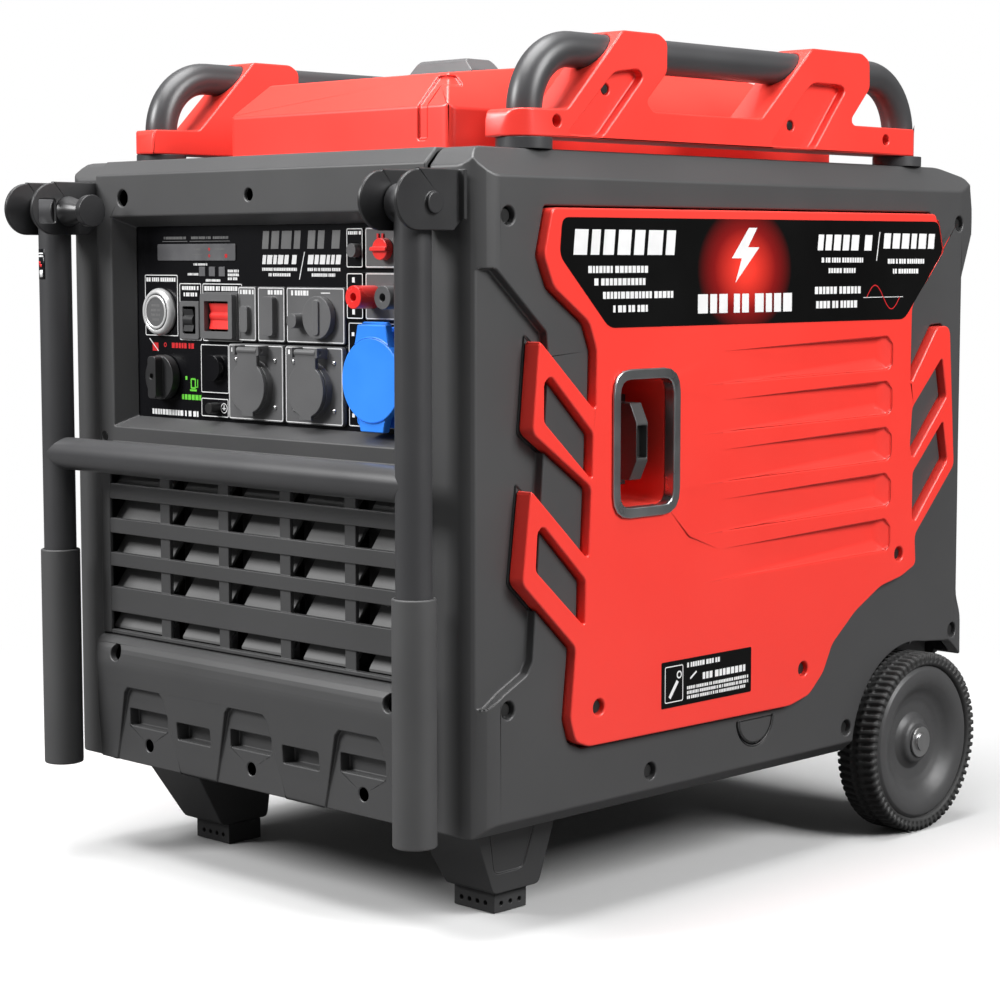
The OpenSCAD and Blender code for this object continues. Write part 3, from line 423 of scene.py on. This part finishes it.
eased("control_plate", "chassis", gloss_sheet, 0.0004)
eased("outlet_bezels", "chassis", socket_grey, 0.0004, other=gloss_sheet, where=on_black)
eased("display_window", "chassis", smoked_window, 0.0004)
eased("earthed_sockets", "chassis", socket_grey, 0.0005)
eased("blue_socket", "chassis", blue_moulding, 0.0005)
eased("parallel_posts", "chassis", red_knob_finish, 0.0004, other=grey_post,
      where=lambda c: c[:, 0] > 0.1455)
eased("start_button", "start", socket_grey, 0.0004)
eased("eco_rocker", "eco", black_moulding, 0.0003)
eased("breaker_rocker", "breaker", red_knob_finish, 0.0004)
eased("fuel_tap_knob", "tap", black_moulding, 0.0006)
eased("selector_knob", "selector", red_knob_finish, 0.0005)
eased("reset_button", "reset", socket_grey, 0.0004)
eased("socket_lid_1", "lid_1", socket_grey, 0.0006)
eased("socket_lid_2", "lid_2", socket_grey, 0.0006)
eased("blue_flap", "blue_lid", blue_moulding, 0.0010)
eased("dc_cap", "dc_plug", socket_grey, 0.0005)


def placed(name, points, faces, finish, body, smooth=True):
    """A mesh object from an n x 3 array in metres and a list of faces, riding on a body."""
    mesh = bpy.data.meshes.new(name)
    mesh.from_pydata(points.tolist(), [], faces)
    mesh.polygons.foreach_set("use_smooth", np.full(len(mesh.polygons), smooth))
    mesh.materials.append(finish)
    piece = bpy.data.objects.new(name, mesh)
    bpy.context.scene.collection.objects.link(piece)
    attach(piece, body)
    return piece


def on_front(u, v, w):
    """Across, up and out from the control plate, in mm, as points in metres."""
    return np.stack([u, plate_y - w, v], -1) / 1000


def block(u0, v0, u1, v1, lean=0.0):
    """A rectangle, its top pushed along by `lean`."""
    return np.array([[u0, v0], [u1, v0], [u1 + lean, v1], [u0 + lean, v1]], float)


def rounded(points, r, n=4):
    """An outline whose corners are cut back by r and curved: (1-t)^2 s + 2t(1-t) p + t^2 e."""
    p = np.array(points, float)
    a, b = np.roll(p, 1, 0) - p, np.roll(p, -1, 0) - p
    la, lb = np.hypot(*a.T)[:, None], np.hypot(*b.T)[:, None]
    s = p + a / la * np.minimum(r, 0.45 * la)
    e = p + b / lb * np.minimum(r, 0.45 * lb)
    t = np.linspace(0, 1, n + 1)[None, :, None]
    mid = p[:, None]
    return ((1 - t) ** 2 * s[:, None] + 2 * t * (1 - t) * mid + t * t * e[:, None]).reshape(-1, 2)


def outline(u0, v0, u1, v1, line=0.7, r=1.6):
    """A rounded rectangle drawn as a line: an outer and an inner loop."""
    d = line
    return (rounded(block(u0, v0, u1, v1), r),
            rounded(block(u0 + d, v0 + d, u1 - d, v1 - d), max(r - d, 0.2)))


def ring(u, v, r_out, r_in, n=28):
    """A circle drawn as a line between two radii."""
    a = np.linspace(0, 2 * np.pi, n, endpoint=False)
    c = np.stack([np.cos(a), np.sin(a)], -1)
    return (c * r_out + [u, v], c * r_in + [u, v])


def stroke(u0, v0, u1, v1, line):
    """A straight line of a given width as a four-cornered outline."""
    a, b = np.array([u0, v0], float), np.array([u1, v1], float)
    side = np.array([a[1] - b[1], b[0] - a[0]])
    side *= line / 2 / np.hypot(*side)
    return np.array([a - side, b - side, b + side, a + side])


def bars(u0, u1, v, h, seed, lean=0.0):
    """A line of plain blocks from u0 to u1: seeded widths, small gaps and a few wide ones."""
    draw = np.random.RandomState(seed)
    count = max(2, int((u1 - u0) / (0.86 * h)))
    width = draw.uniform(0.45, 0.85, count)
    gap = np.where(draw.uniform(size=count) < 0.16, 0.55, 0.2)
    scale = (u1 - u0) / (width.sum() + gap[:-1].sum())
    start = u0 + scale * np.concatenate([[0], np.cumsum(width + gap)[:-1]])
    return [block(a, v, a + w, v + h, lean) for a, w in zip(start, width * scale)]


def printed(name, place, shapes, low, high, finish, body="chassis"):
    """Raised ink: plates from `low` to `high` mm off a wall, one for each outline.

    A pair of loops is a ring: outer low, outer high, inner high and inner low, joined round.
    """
    points, faces, n0 = [], [], 0
    for shape in shapes:
        outer, inner = shape if isinstance(shape, tuple) else (shape, None)
        x, y = outer.T
        if (x * np.roll(y, -1) - y * np.roll(x, -1)).sum() < 0:
            outer = outer[::-1]
            inner = None if inner is None else inner[::-1]
        n = len(outer)
        rows = [(outer, low), (outer, high)]
        if inner is not None:
            rows += [(inner, high), (inner, low)]
        points += [place(loop[:, 0], loop[:, 1], np.full(n, h)) for loop, h in rows]
        i = np.arange(n)
        j = (i + 1) % n
        for k in range(len(rows) if inner is not None else 1):
            m = (k + 1) % len(rows)
            quads = np.stack([k * n + i, k * n + j, m * n + j, m * n + i], 1) + n0
            faces += quads.tolist()
        if inner is None:
            faces += [(i[::-1] + n0).tolist(), (i + n + n0).tolist()]
        n0 += n * len(rows)
    return placed(name, np.concatenate(points), faces, finish, body, smooth=False)


def turned(name, profile, centre, finish, body, n=64):
    """A closed (radius, height) loop in mm turned round a line that runs out along -Y.

    A point is radius*(sin a, cos a) across and up, and height out of `centre`; points on
    the axis are merged, so both ends are closed, and the faces are turned outwards.
    """
    r, h = np.array(profile, float).T
    a = np.linspace(0, 2 * np.pi, n, endpoint=False)
    p = np.zeros((len(r), n, 3))
    p[..., 0] = r[:, None] * np.sin(a)
    p[..., 1] = -h[:, None]
    p[..., 2] = r[:, None] * np.cos(a)
    k = np.arange(len(r) * n).reshape(len(r), n)
    up, on = np.roll(k, -1, 0), np.roll(k, -1, 1)
    quads = np.stack([k, on, np.roll(up, -1, 1), up], -1).reshape(-1, 4)
    piece = placed(name, p.reshape(-1, 3) / 1000 + np.array(centre) / 1000, quads.tolist(),
                   finish, body)
    tidy = bmesh.new()
    tidy.from_mesh(piece.data)
    bmesh.ops.remove_doubles(tidy, verts=tidy.verts, dist=1e-6)
    bmesh.ops.recalc_face_normals(tidy, faces=tidy.faces)
    tidy.to_mesh(piece.data)
    tidy.free()
    shade = piece.modifiers.new("shade", "WEIGHTED_NORMAL")
    shade.weight = 60
    return piece


def ink(name, colour, patch):
    """Screen-printed ink: even, half matt and free of dust."""
    return even_out(name, colour, patch, rough=0.45, spread=0.05, grain=1800, bump=0.03,
                    patch_size=40, dust_and_top_light=0.0)


white_ink = ink("white_ink", (0.72, 0.72, 0.72), (0.80, 0.80, 0.80))
grey_ink = ink("grey_ink", (0.12, 0.12, 0.12), (0.15, 0.15, 0.15))
red_ink = ink("red_ink", (0.52, 0.008, 0.012), (0.60, 0.015, 0.018))
green_ink = ink("green_ink", (0.10, 0.50, 0.03), (0.14, 0.60, 0.05))

sheet_white = [outline(-163, 457, -118, 509), outline(-115.5, 454, -86.5, 502),
               outline(-84.5, 454, -33, 502), outline(97.5, 391, 171.5, 472.5)]
sheet_white += bars(-161, -121, 503.2, 3.4, 1) + bars(-112, -90, 496.4, 3.2, 2)
sheet_white += bars(-110, -92, 491.0, 3.2, 3) + bars(-82, -39, 496.0, 3.8, 4)
sheet_white += bars(-7, 35, 518.2, 7.4, 5, 1.2) + bars(49, 88, 518.2, 7.4, 6, 1.2)
sheet_white += [stroke(39, 506, 45.5, 528, 0.9), stroke(-157.6, 454.5, -145.4, 444, 0.9)]
sheet_white += bars(-7, 36, 512.8, 2.5, 7) + bars(49, 88, 512.8, 2.5, 8)
sheet_white += bars(1, 28, 508.4, 2.5, 9) + bars(54, 82, 508.4, 2.5, 10)
sheet_white += bars(-104, -90, 508.6, 2.0, 11) + bars(-80, -61, 503.6, 2.0, 12)
sheet_white += bars(-51, -37, 511.4, 2.2, 13) + bars(-51, -37, 508.2, 2.2, 14)
sheet_white += bars(-51, -39, 505.0, 2.2, 15) + bars(-96, -78, 517.0, 1.8, 16)
sheet_white += bars(-155, -92, 389.5, 4.6, 17)
sheet_white += [stroke(100, 446, 104, 448, 1.2), stroke(104, 448, 108, 446, 1.2),
                block(101, 462, 104, 465), block(101, 398, 104, 401)]
sheet_ink = 0.12
printed("sheet_print_white", on_front, sheet_white, 0.0, sheet_ink, white_ink)
title = bars(-7, 87, 530.5, 14.5, 21, 1.5)
title += bars(-136, -106, 539.0, 2.2, 22) + bars(-99, -73, 539.0, 2.2, 23)
title += bars(-70, -50, 539.0, 2.2, 24)
title += [stroke(-138, 537.2, -104, 537.2, 0.5), stroke(-101, 537.2, -48, 537.2, 0.5)]
printed("sheet_print_grey", on_front, title, 0.0, sheet_ink, grey_ink)
closed_tap = [block(-153.5, 444, -145.5, 451), ring(-136, 449.5, 1.9, 1.1)]
closed_tap += bars(-127, -97, 447.0, 4.4, 25)
printed("sheet_print_red", on_front, closed_tap, 0.0, film_ink, red_ink)
open_tap = [block(-109, 420.5, -106.4, 423.5), outline(-102, 413, -95, 422, 1.4),
            stroke(-94.6, 414.5, -92.6, 414.5, 1.0), stroke(-92.6, 414, -92.6, 421, 1.0),
            block(-103, 411, -94, 412.6)]
open_tap += bars(-114, -88, 403.6, 4.4, 26)
printed("sheet_print_green", on_front, open_tap, 0.0, film_ink, green_ink)
raised = [outline(-35.2, 455.8, -13.8, 499.2), outline(-10.2, 455.8, 22.2, 499.2),
          outline(25.8, 455.8, 94.2, 499.2), outline(-85.2, 410.8, -48.8, 451.2),
          outline(-85.2, 390.8, -49.8, 406.2), outline(97.8, 475.8, 116.2, 511.2),
          outline(119.8, 475.8, 170.2, 511.2), outline(119.8, 515.8, 170.2, 546.2),
          outline(97.8, 515.8, 116.2, 546.2), ring(-55.5, 398.4, 4.2, 3.6),
          block(-55.9, 398.5, -55.1, 401), block(-57.6, 398, -53.4, 398.7),
          block(-56.9, 396.9, -54.1, 397.5), stroke(67, 495.4, 78, 495.4, 0.8)]
raised += bars(-33, -16, 493.6, 3.6, 31) + bars(2, 20, 493.6, 3.6, 32)
raised += bars(31, 52, 493.2, 4.0, 33) + bars(99.5, 114.5, 541.4, 2.6, 34)
raised += [block(104, 504, 107, 508), block(104, 479, 107, 483)]
printed("bezel_print", on_front, raised, bezel_out, bezel_out + film_ink, white_ink)
socket_middles = (-12, 60)
flange = []
for middle in socket_middles:
    flange += [outline(middle - 34, 391, middle + 34, 452),
               block(middle - 31, 446, middle - 28.6, 449.6),
               stroke(middle - 27, 446.4, middle - 24, 449.2, 0.9)]
printed("flange_print", on_front, flange, flange_out, flange_out + film_ink, white_ink)
window_out, window_ink = 1.0, 1.08
display_marks = [ring(-74, 530.5, 1.3, 0.5), ring(-74, 525, 1.3, 0.5),
                 block(-53.6, 523.4, -50.4, 526.6)]
printed("display_marks", on_front, display_marks, window_out, window_ink, red_ink)
printed("selector_marks", on_front, [block(133.6, 536.5, 135.6, 542), block(139, 536.5, 141, 542)],
        bezel_out, 3.2, red_ink)
display_words = bars(-94, -86, 529.6, 1.8, 35) + bars(-66, -54, 529.6, 1.8, 36)
display_words += bars(-96, -84, 525.6, 1.2, 37)
printed("display_words", on_front, display_words, window_out, window_ink, grey_ink)
start_ring = [(20, 0.05), (20.2, 2.6), (19.6, 4.6), (18.3, 6.3), (17.0, 6.8), (15.8, 6.6),
              (15.2, 5.9), (15.1, 0.05)]
button_ring = [(14.6, 6.4), (14.4, 6.9), (13.4, 7.2), (12.4, 6.9), (12.2, 6.4)]
bright_ring = even_out("bright_ring", (0.62, 0.62, 0.62), (0.72, 0.72, 0.72), rough=0.24,
                       spread=0.05, grain=1500, bump=0.03, patch_size=40, dust_and_top_light=0.0, metal=0.35)
start_place = (-140.5, plate_y, 477.5)
turned("start_ring", start_ring, start_place, bright_ring, "chassis")
turned("button_ring", button_ring, start_place, bright_ring, "start")
start_words = bars(-146, -135, 482.0, 2.0, 41) + bars(-147, -134, 478.0, 2.0, 42)
start_words += bars(-146.5, -134.5, 474.0, 2.0, 43) + bars(-145, -136, 470.0, 2.0, 44)
printed("start_words", on_front, start_words, 6.5, 6.56, grey_ink, body="start")
breaker_window = (rounded(block(-78, 456.5, -36.5, 493.5), 2.0),
                  rounded(block(-72.6, 462.4, -41.6, 487.6), 1.0))
printed("breaker_window", on_front, [breaker_window], 3.9, 8.4, socket_grey)
dome = [(2.1, 0.0), (2.0, 0.6), (1.6, 1.1), (0.9, 1.4), (0.0, 1.5), (0.0, 0.0)]
for middle in socket_middles:
    for side in (-1, 1):
        for rise in (-1, 1):
            turned(f"socket_rivet_{middle + 12}_{side + 1}_{rise + 1}", dome,
                   (middle + side * 24.5, plate_y - flange_out, 421 + rise * 19), satin_chrome,
                   "chassis", n=14)


# ---------------------------------------------------------------------------
# Red side covers, the pull-starter recess with its bright frame, and the grip.
# The covers are glossy red mouldings with louvres, screwed onto the shells.
# ---------------------------------------------------------------------------
cover_x = 263.5         # the covers' outer face, in mm from the middle
film = 0.30             # thickness of the label films
# Up-facing faces move towards a lighter red: this is painted top light on the red covers.
red_moulding = even_out("red_moulding", (0.82, 0.040, 0.028), (0.86, 0.048, 0.034), rough=0.34,
                        spread=0.05, grain=1500, bump=0.03, patch_size=5, dust_and_top_light=0.10,
                        dust_and_top_light_colour=(0.9, 0.25, 0.2), coat=0.15, coat_rough=0.25)
bright_frame = even_out("bright_frame", (0.40, 0.41, 0.42), (0.48, 0.49, 0.50), rough=0.30,
                        spread=0.08, grain=1400, bump=0.05, patch_size=30, metal=1.0)
grip_moulding = even_out("grip_moulding", (0.045, 0.045, 0.045), (0.055, 0.055, 0.055), rough=0.4)
eased("side_panel_right", "chassis", red_moulding, 0.0016, 3)
eased("side_panel_left", "chassis", red_moulding, 0.0016, 3)
eased("starter_recess", "chassis", red_moulding, 0.0006)
eased("recess_frame", "chassis", bright_frame, 0.0012)
eased("starter_grip", "starter", grip_moulding, 0.0008)


def label_film(name, middle, reach):
    """Black film with a red glow, by b = max(0, 1 - |(p - middle) / reach|).

    What is added to the film's black runs from nothing at b = 0 through dim red at
    b = 0.35 to bright red at b = 1.
    """
    m = bpy.data.materials.new(name)
    m.use_nodes = True
    n, link = m.node_tree.nodes, m.node_tree.links.new
    shader = n["Principled BSDF"]
    g = n.new("ShaderNodeGroup")
    g.node_tree = uneven_finish
    for socket, value in (("Colour", (0.002, 0.002, 0.002, 1)), ("Grain Size", 1800.0),
                          ("Patch Colour", (0.004, 0.004, 0.004, 1)), ("Dust And Top Light Amount", 0.0),
                          ("Roughness", 0.34), ("Spread", 0.05)):
        g.inputs[socket].default_value = value
    where, shift = n.new("ShaderNodeTexCoord"), n.new("ShaderNodeMapping")
    shift.inputs["Scale"].default_value = [1 / r for r in reach]
    shift.inputs["Location"].default_value = [-c / r for c, r in zip(middle, reach)]
    ball, ramp, blend = (n.new("ShaderNodeTexGradient"), n.new("ShaderNodeValToRGB"),
                         n.new("ShaderNodeMix"))
    ball.gradient_type = "SPHERICAL"
    ramp.color_ramp.elements[0].color = (0, 0, 0, 1)
    ramp.color_ramp.elements[1].color = (1.0, 0.05, 0.03, 1)
    dim = ramp.color_ramp.elements.new(0.35)
    dim.color = (0.20, 0.004, 0.004, 1)
    blend.data_type = "RGBA"
    blend.blend_type = "ADD"
    blend.inputs["Factor"].default_value = 1.0
    link(where.outputs["Object"], shift.inputs["Vector"])
    link(shift.outputs[0], ball.inputs[0])
    link(ball.outputs["Fac"], ramp.inputs[0])
    link(g.outputs["Colour"], blend.inputs["A"])
    link(ramp.outputs[0], blend.inputs["B"])
    link(blend.outputs["Result"], shader.inputs["Base Color"])
    link(g.outputs["Roughness"], shader.inputs["Roughness"])
    shader.inputs["Specular IOR Level"].default_value = 0.12
    return m


def on_right(u, v, w):
    """Along, up and out from the right-hand red cover, in mm, as points in metres."""
    return np.stack([cover_x + w, u, v], -1) / 1000


def on_left(u, v, w):
    """Along, up and out from the left-hand red cover: u runs forward along the machine."""
    return np.stack([-cover_x - w, -u, v], -1) / 1000


def wave(u0, u1, v, height, line, n=36):
    """One turn of v + height*sin(2 pi t) drawn as a band `line` wide across its slope."""
    t = np.linspace(0, 1, n)
    p = np.stack([u0 + (u1 - u0) * t, v + height * np.sin(2 * np.pi * t)], -1)
    d = np.gradient(p, axis=0)
    side = np.stack([-d[:, 1], d[:, 0]], -1) / np.hypot(*d.T)[:, None] * line / 2
    return np.concatenate([p - side, (p + side)[::-1]])


def moved(shapes, along):
    """The same outlines and rings, pushed along by a distance in mm."""
    return [tuple(loop + [along, 0] for loop in s) if isinstance(s, tuple) else s + [along, 0]
            for s in shapes]


def dress(side, place, banner_shift, label_shift, edge, finish):
    """The film on one red cover, with its plain blocks, bolt sign and sine line."""
    film_print = film + 0.06
    printed(f"banner_film_{side}", place, [rounded(edge, 7)], 0.0, film, finish)
    white = bars(-201, -82, 525.5, 19.5, 51, 2.0) + bars(-184, -114, 511.6, 5.4, 52)
    white += bars(-177, -117, 502.0, 5.4, 53) + bars(-167, -83, 491.6, 5.4, 54)
    white += bars(-155, -114, 481.0, 5.4, 55) + bars(-52, 72, 478.5, 15.5, 56)
    white += bars(107, 185, 529.8, 13.4, 57, 1.5) + bars(203, 281, 531.6, 13.4, 58, 1.5)
    white += [stroke(193, 521, 197.4, 546, 1.2)] + bars(113, 173, 519.4, 4.2, 59)
    white += bars(123, 162, 510.4, 4.2, 60) + bars(210, 266, 518.4, 4.2, 61)
    white += bars(218, 257, 509.6, 4.2, 62) + bars(104, 170, 492.6, 6.2, 63)
    white += bars(106, 165, 480.4, 6.2, 64) + [stroke(174, 489, 234, 489, 0.5)]
    bolt = [[13, 548], [-9, 523], [4, 523], [-4, 503], [27, 532], [12, 532], [24, 548]]
    white += [np.array(bolt)]
    printed(f"banner_white_{side}", place, moved(white, banner_shift), film, film_print, white_ink)
    sine = [wave(179, 229, 489, 10.5, 0.9)]
    printed(f"banner_line_{side}", place, moved(sine, banner_shift), film, film + 0.10, red_ink)
    label = moved([rounded(block(-94, 160, 22, 198), 1.5)], label_shift)
    printed(f"oil_label_{side}", place, label, 0.0, film, finish)
    notes = bars(-62, -20, 190.5, 4.0, 65) + bars(-42, 14, 178.5, 5.6, 66)
    notes += bars(-62, 18, 172.4, 2.6, 67) + bars(-62, 18, 168.4, 2.6, 68)
    notes += bars(-62, 14, 164.4, 2.6, 69) + [outline(-90, 164, -67, 194, 0.8, 2.0)]
    notes += [stroke(-84, 168, -74, 181, 3.2), ring(-72, 186, 3.2, 2.0),
              stroke(-58, 181, -50, 186, 1.6)]
    printed(f"oil_words_{side}", place, moved(notes, label_shift), film, film_print, white_ink)


banner_edge = [[-213, 554], [288, 556], [296, 529], [237, 469], [-159, 469], [-216, 525]]
dress("right", on_right, 0, 0, banner_edge,
      label_film("label_film_right", (0.2638, 0.009, 0.514), (0.08, 0.062, 0.052)))
dress("left", on_left, -80, 36, [[-u, v] for u, v in banner_edge],
      label_film("label_film_left", (-0.2638, 0.071, 0.514), (0.08, 0.062, 0.052)))


# ---------------------------------------------------------------------------
# Tank cover and filler: a red moulded lid over the tank, with the dark screw
# cap and its rubber seal standing through it.
# ---------------------------------------------------------------------------
eased("tank_cover", "chassis", red_moulding, 0.0018, 3)
eased("fuel_cap", "cap", socket_grey, 0.0012)
eased("cap_gasket", "cap_seat", soft_rubber, 0.0003)


# ---------------------------------------------------------------------------
# Top rails and carrying tubes: red moulded rails along both edges of the deck,
# each clamping one bent steel tube in satin black.
# ---------------------------------------------------------------------------
tube_paint = even_out("tube_paint", (0.040, 0.040, 0.042), (0.046, 0.046, 0.048), rough=0.36,
                      spread=0.06, grain=1600, bump=0.05, patch_size=10)
eased("top_rails", "chassis", red_moulding, 0.0014, 3)
eased("carry_tubes", "chassis", tube_paint, 0.0004, sharp=50)


# ---------------------------------------------------------------------------
# Folding handle: pressed brackets with sprung lock knobs, two hanging steel
# legs, a crossbar and rubber grips.
# ---------------------------------------------------------------------------
grip_rubber = even_out("grip_rubber", (0.055, 0.055, 0.056), (0.062, 0.062, 0.063), rough=0.6,
                       spread=0.08, grain=1600, bump=0.12, patch_size=14)
eased("handle_brackets", "chassis", black_moulding, 0.0010)
eased("lock_knob_right", "knob_right", black_moulding, 0.0006)
eased("lock_knob_left", "knob_left", black_moulding, 0.0006)
eased("handle_legs", "handle", tube_paint, 0.0006, sharp=50)


leg_x, leg_y, leg_r = -223.2, -331.2, 14.0


def round_leg(u, v, w):
    """Round and up on the left-hand leg's tube, in metres: u is mm of arc from its front."""
    a, r = u / leg_r, leg_r + w
    return np.stack([leg_x + r * np.sin(a), leg_y - r * np.cos(a), v], -1) / 1000


def strip(u0, v0, u1, v1, n=9):
    """A rectangle whose level edges have n points, so that it bends round a tube."""
    u = np.linspace(u0, u1, n)
    low, high = np.stack([u, np.full(n, v0)], -1), np.stack([u[::-1], np.full(n, v1)], -1)
    return np.concatenate([low, high])


def wrapped(name, shapes, low, high, finish, body, n=9):
    """Strips round the tube: grids of n columns, closed by their edges."""
    points, faces, k0 = [], [], 0
    for s in shapes:
        for h in (low, high):
            points.append(round_leg(s[:, 0], s[:, 1], np.full(len(s), h)))
        m = len(s)
        i = np.arange(n - 1)
        far_side = m - 1 - i
        under = np.stack([i, far_side, far_side - 1, i + 1], 1)
        j = np.arange(m)
        rim = np.stack([j, (j + 1) % m, (j + 1) % m + m, j + m], 1)
        faces += (np.concatenate([under, under[:, ::-1] + m, rim]) + k0).tolist()
        k0 += 2 * m
    return placed(name, np.concatenate(points), faces, finish, body)


wrapped("leg_label", [strip(-11, 505, 4, 531)], 0.02, 0.10, gloss_sheet, "handle")
wrapped("leg_label_white", [strip(-9, 524, 2, 525.4), strip(-9, 526.4, 2, 527.8),
                            strip(-4, 507, 1, 513)], 0.10, 0.14, white_ink, "handle")
wrapped("leg_label_red", [strip(-9, 517.5, -2, 520.5), strip(-4, 515.5, 0, 518)], 0.10, 0.14,
        red_ink, "handle")
eased("handle_crossbar", "handle", tube_paint, 0.0004, sharp=50)
eased("handle_grips", "handle", grip_rubber, 0.0014, sharp=50)


# ---------------------------------------------------------------------------
# Wheels: dark moulded hubs that turn on the fixed axle, each with a solid rubber
# tyre pressed onto it, its lugs cut across the tread in two rows.
# ---------------------------------------------------------------------------
wheel_x, wheel_y, tyre_r = 253.65, 266.6, 82.3
tyre_rubber = even_out("tyre_rubber", (0.018, 0.018, 0.018), (0.026, 0.026, 0.026), rough=0.6,
                       spread=0.12, grain=1200, bump=0.2, patch_size=20)
hub_moulding = even_out("hub_moulding", (0.050, 0.050, 0.051), (0.058, 0.058, 0.059), rough=0.42,
                        spread=0.08, grain=1400, bump=0.08, patch_size=16)


def tyre(side, sign):
    """A solid tyre: a closed (radius, across) loop swept round the axle, with cut lugs.

    With a the angle and h the distance across, the lug wave is
    L = smooth(0.5 + 2.2 cos(72 a + 2.6 |h|/w + pi [h > 0])), and the surface is
    r = r0 - 2.6 d (1 - L), x = h - 1.5 e sign(h) (1 - L), where d is 1 on the tread and
    e is 1 on the shoulders. A rib is left along the middle, where d falls to 0.25.
    """
    half, lugs, skew = 20.25, 72, 2.6
    lug_depth, shoulder_depth = 2.6, 1.5
    r0, h, d, e = np.array([
        (70, 15.2, 0, 0), (71.0, 17.6, 0, 0), (72.2, 18.7, 0, 0), (73.4, 19.0, 0, 0.0),
        (74.2, 19.3, 0.0, 1), (77.0, 20.0, 0.3, 1), (79.4, 20.1, 0.8, 1), (81.0, 19.0, 1, 0.6),
        (82.0, 17.2, 1, 0.1), (tyre_r, 15.0, 1, 0), (tyre_r, 12.2, 1, 0), (tyre_r, 9.4, 1, 0),
        (tyre_r, 6.8, 1, 0), (tyre_r, 6.0, 0.25, 0), (tyre_r, 3.4, 0.25, 0),
        (tyre_r, 2.8, 1, 0),
    ]).T
    r0, h, d, e = (np.concatenate([v, v[::-1] * k]) for v, k in ((r0, 1), (h, -1), (d, 1), (e, 1)))
    a = np.linspace(0, 2 * np.pi, 12 * lugs, endpoint=False)[None, :]
    r0, h, d, e = (v[:, None] for v in (r0, h, d, e))
    wave_at = lugs * a + skew * np.abs(h) / half + np.pi * (h > 0)
    t = np.clip(0.5 + 2.2 * np.cos(wave_at), 0, 1)
    cut = 1 - t * t * (3 - 2 * t)
    r = r0 - lug_depth * d * cut
    x = h - shoulder_depth * e * np.sign(h) * cut
    p = np.stack([sign * (wheel_x + x), wheel_y + r * np.cos(a), tyre_r + r * np.sin(a)], -1)
    k = np.arange(r.size).reshape(r.shape)
    up, on = np.roll(k, -1, 0), np.roll(k, -1, 1)
    quads = np.stack([k, on, np.roll(up, -1, 1), up], -1).reshape(-1, 4)[:, ::int(-sign)]
    piece = placed(f"tyre_{side}_tread", p.reshape(-1, 3) / 1000, quads.tolist(), tyre_rubber,
                   f"wheel_{side}")
    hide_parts(f"tyre_{side}")


tyre("right", 1)
tyre("left", -1)
eased("hub_right", "wheel_right", hub_moulding, 0.0008)
eased("hub_left", "wheel_left", hub_moulding, 0.0008)
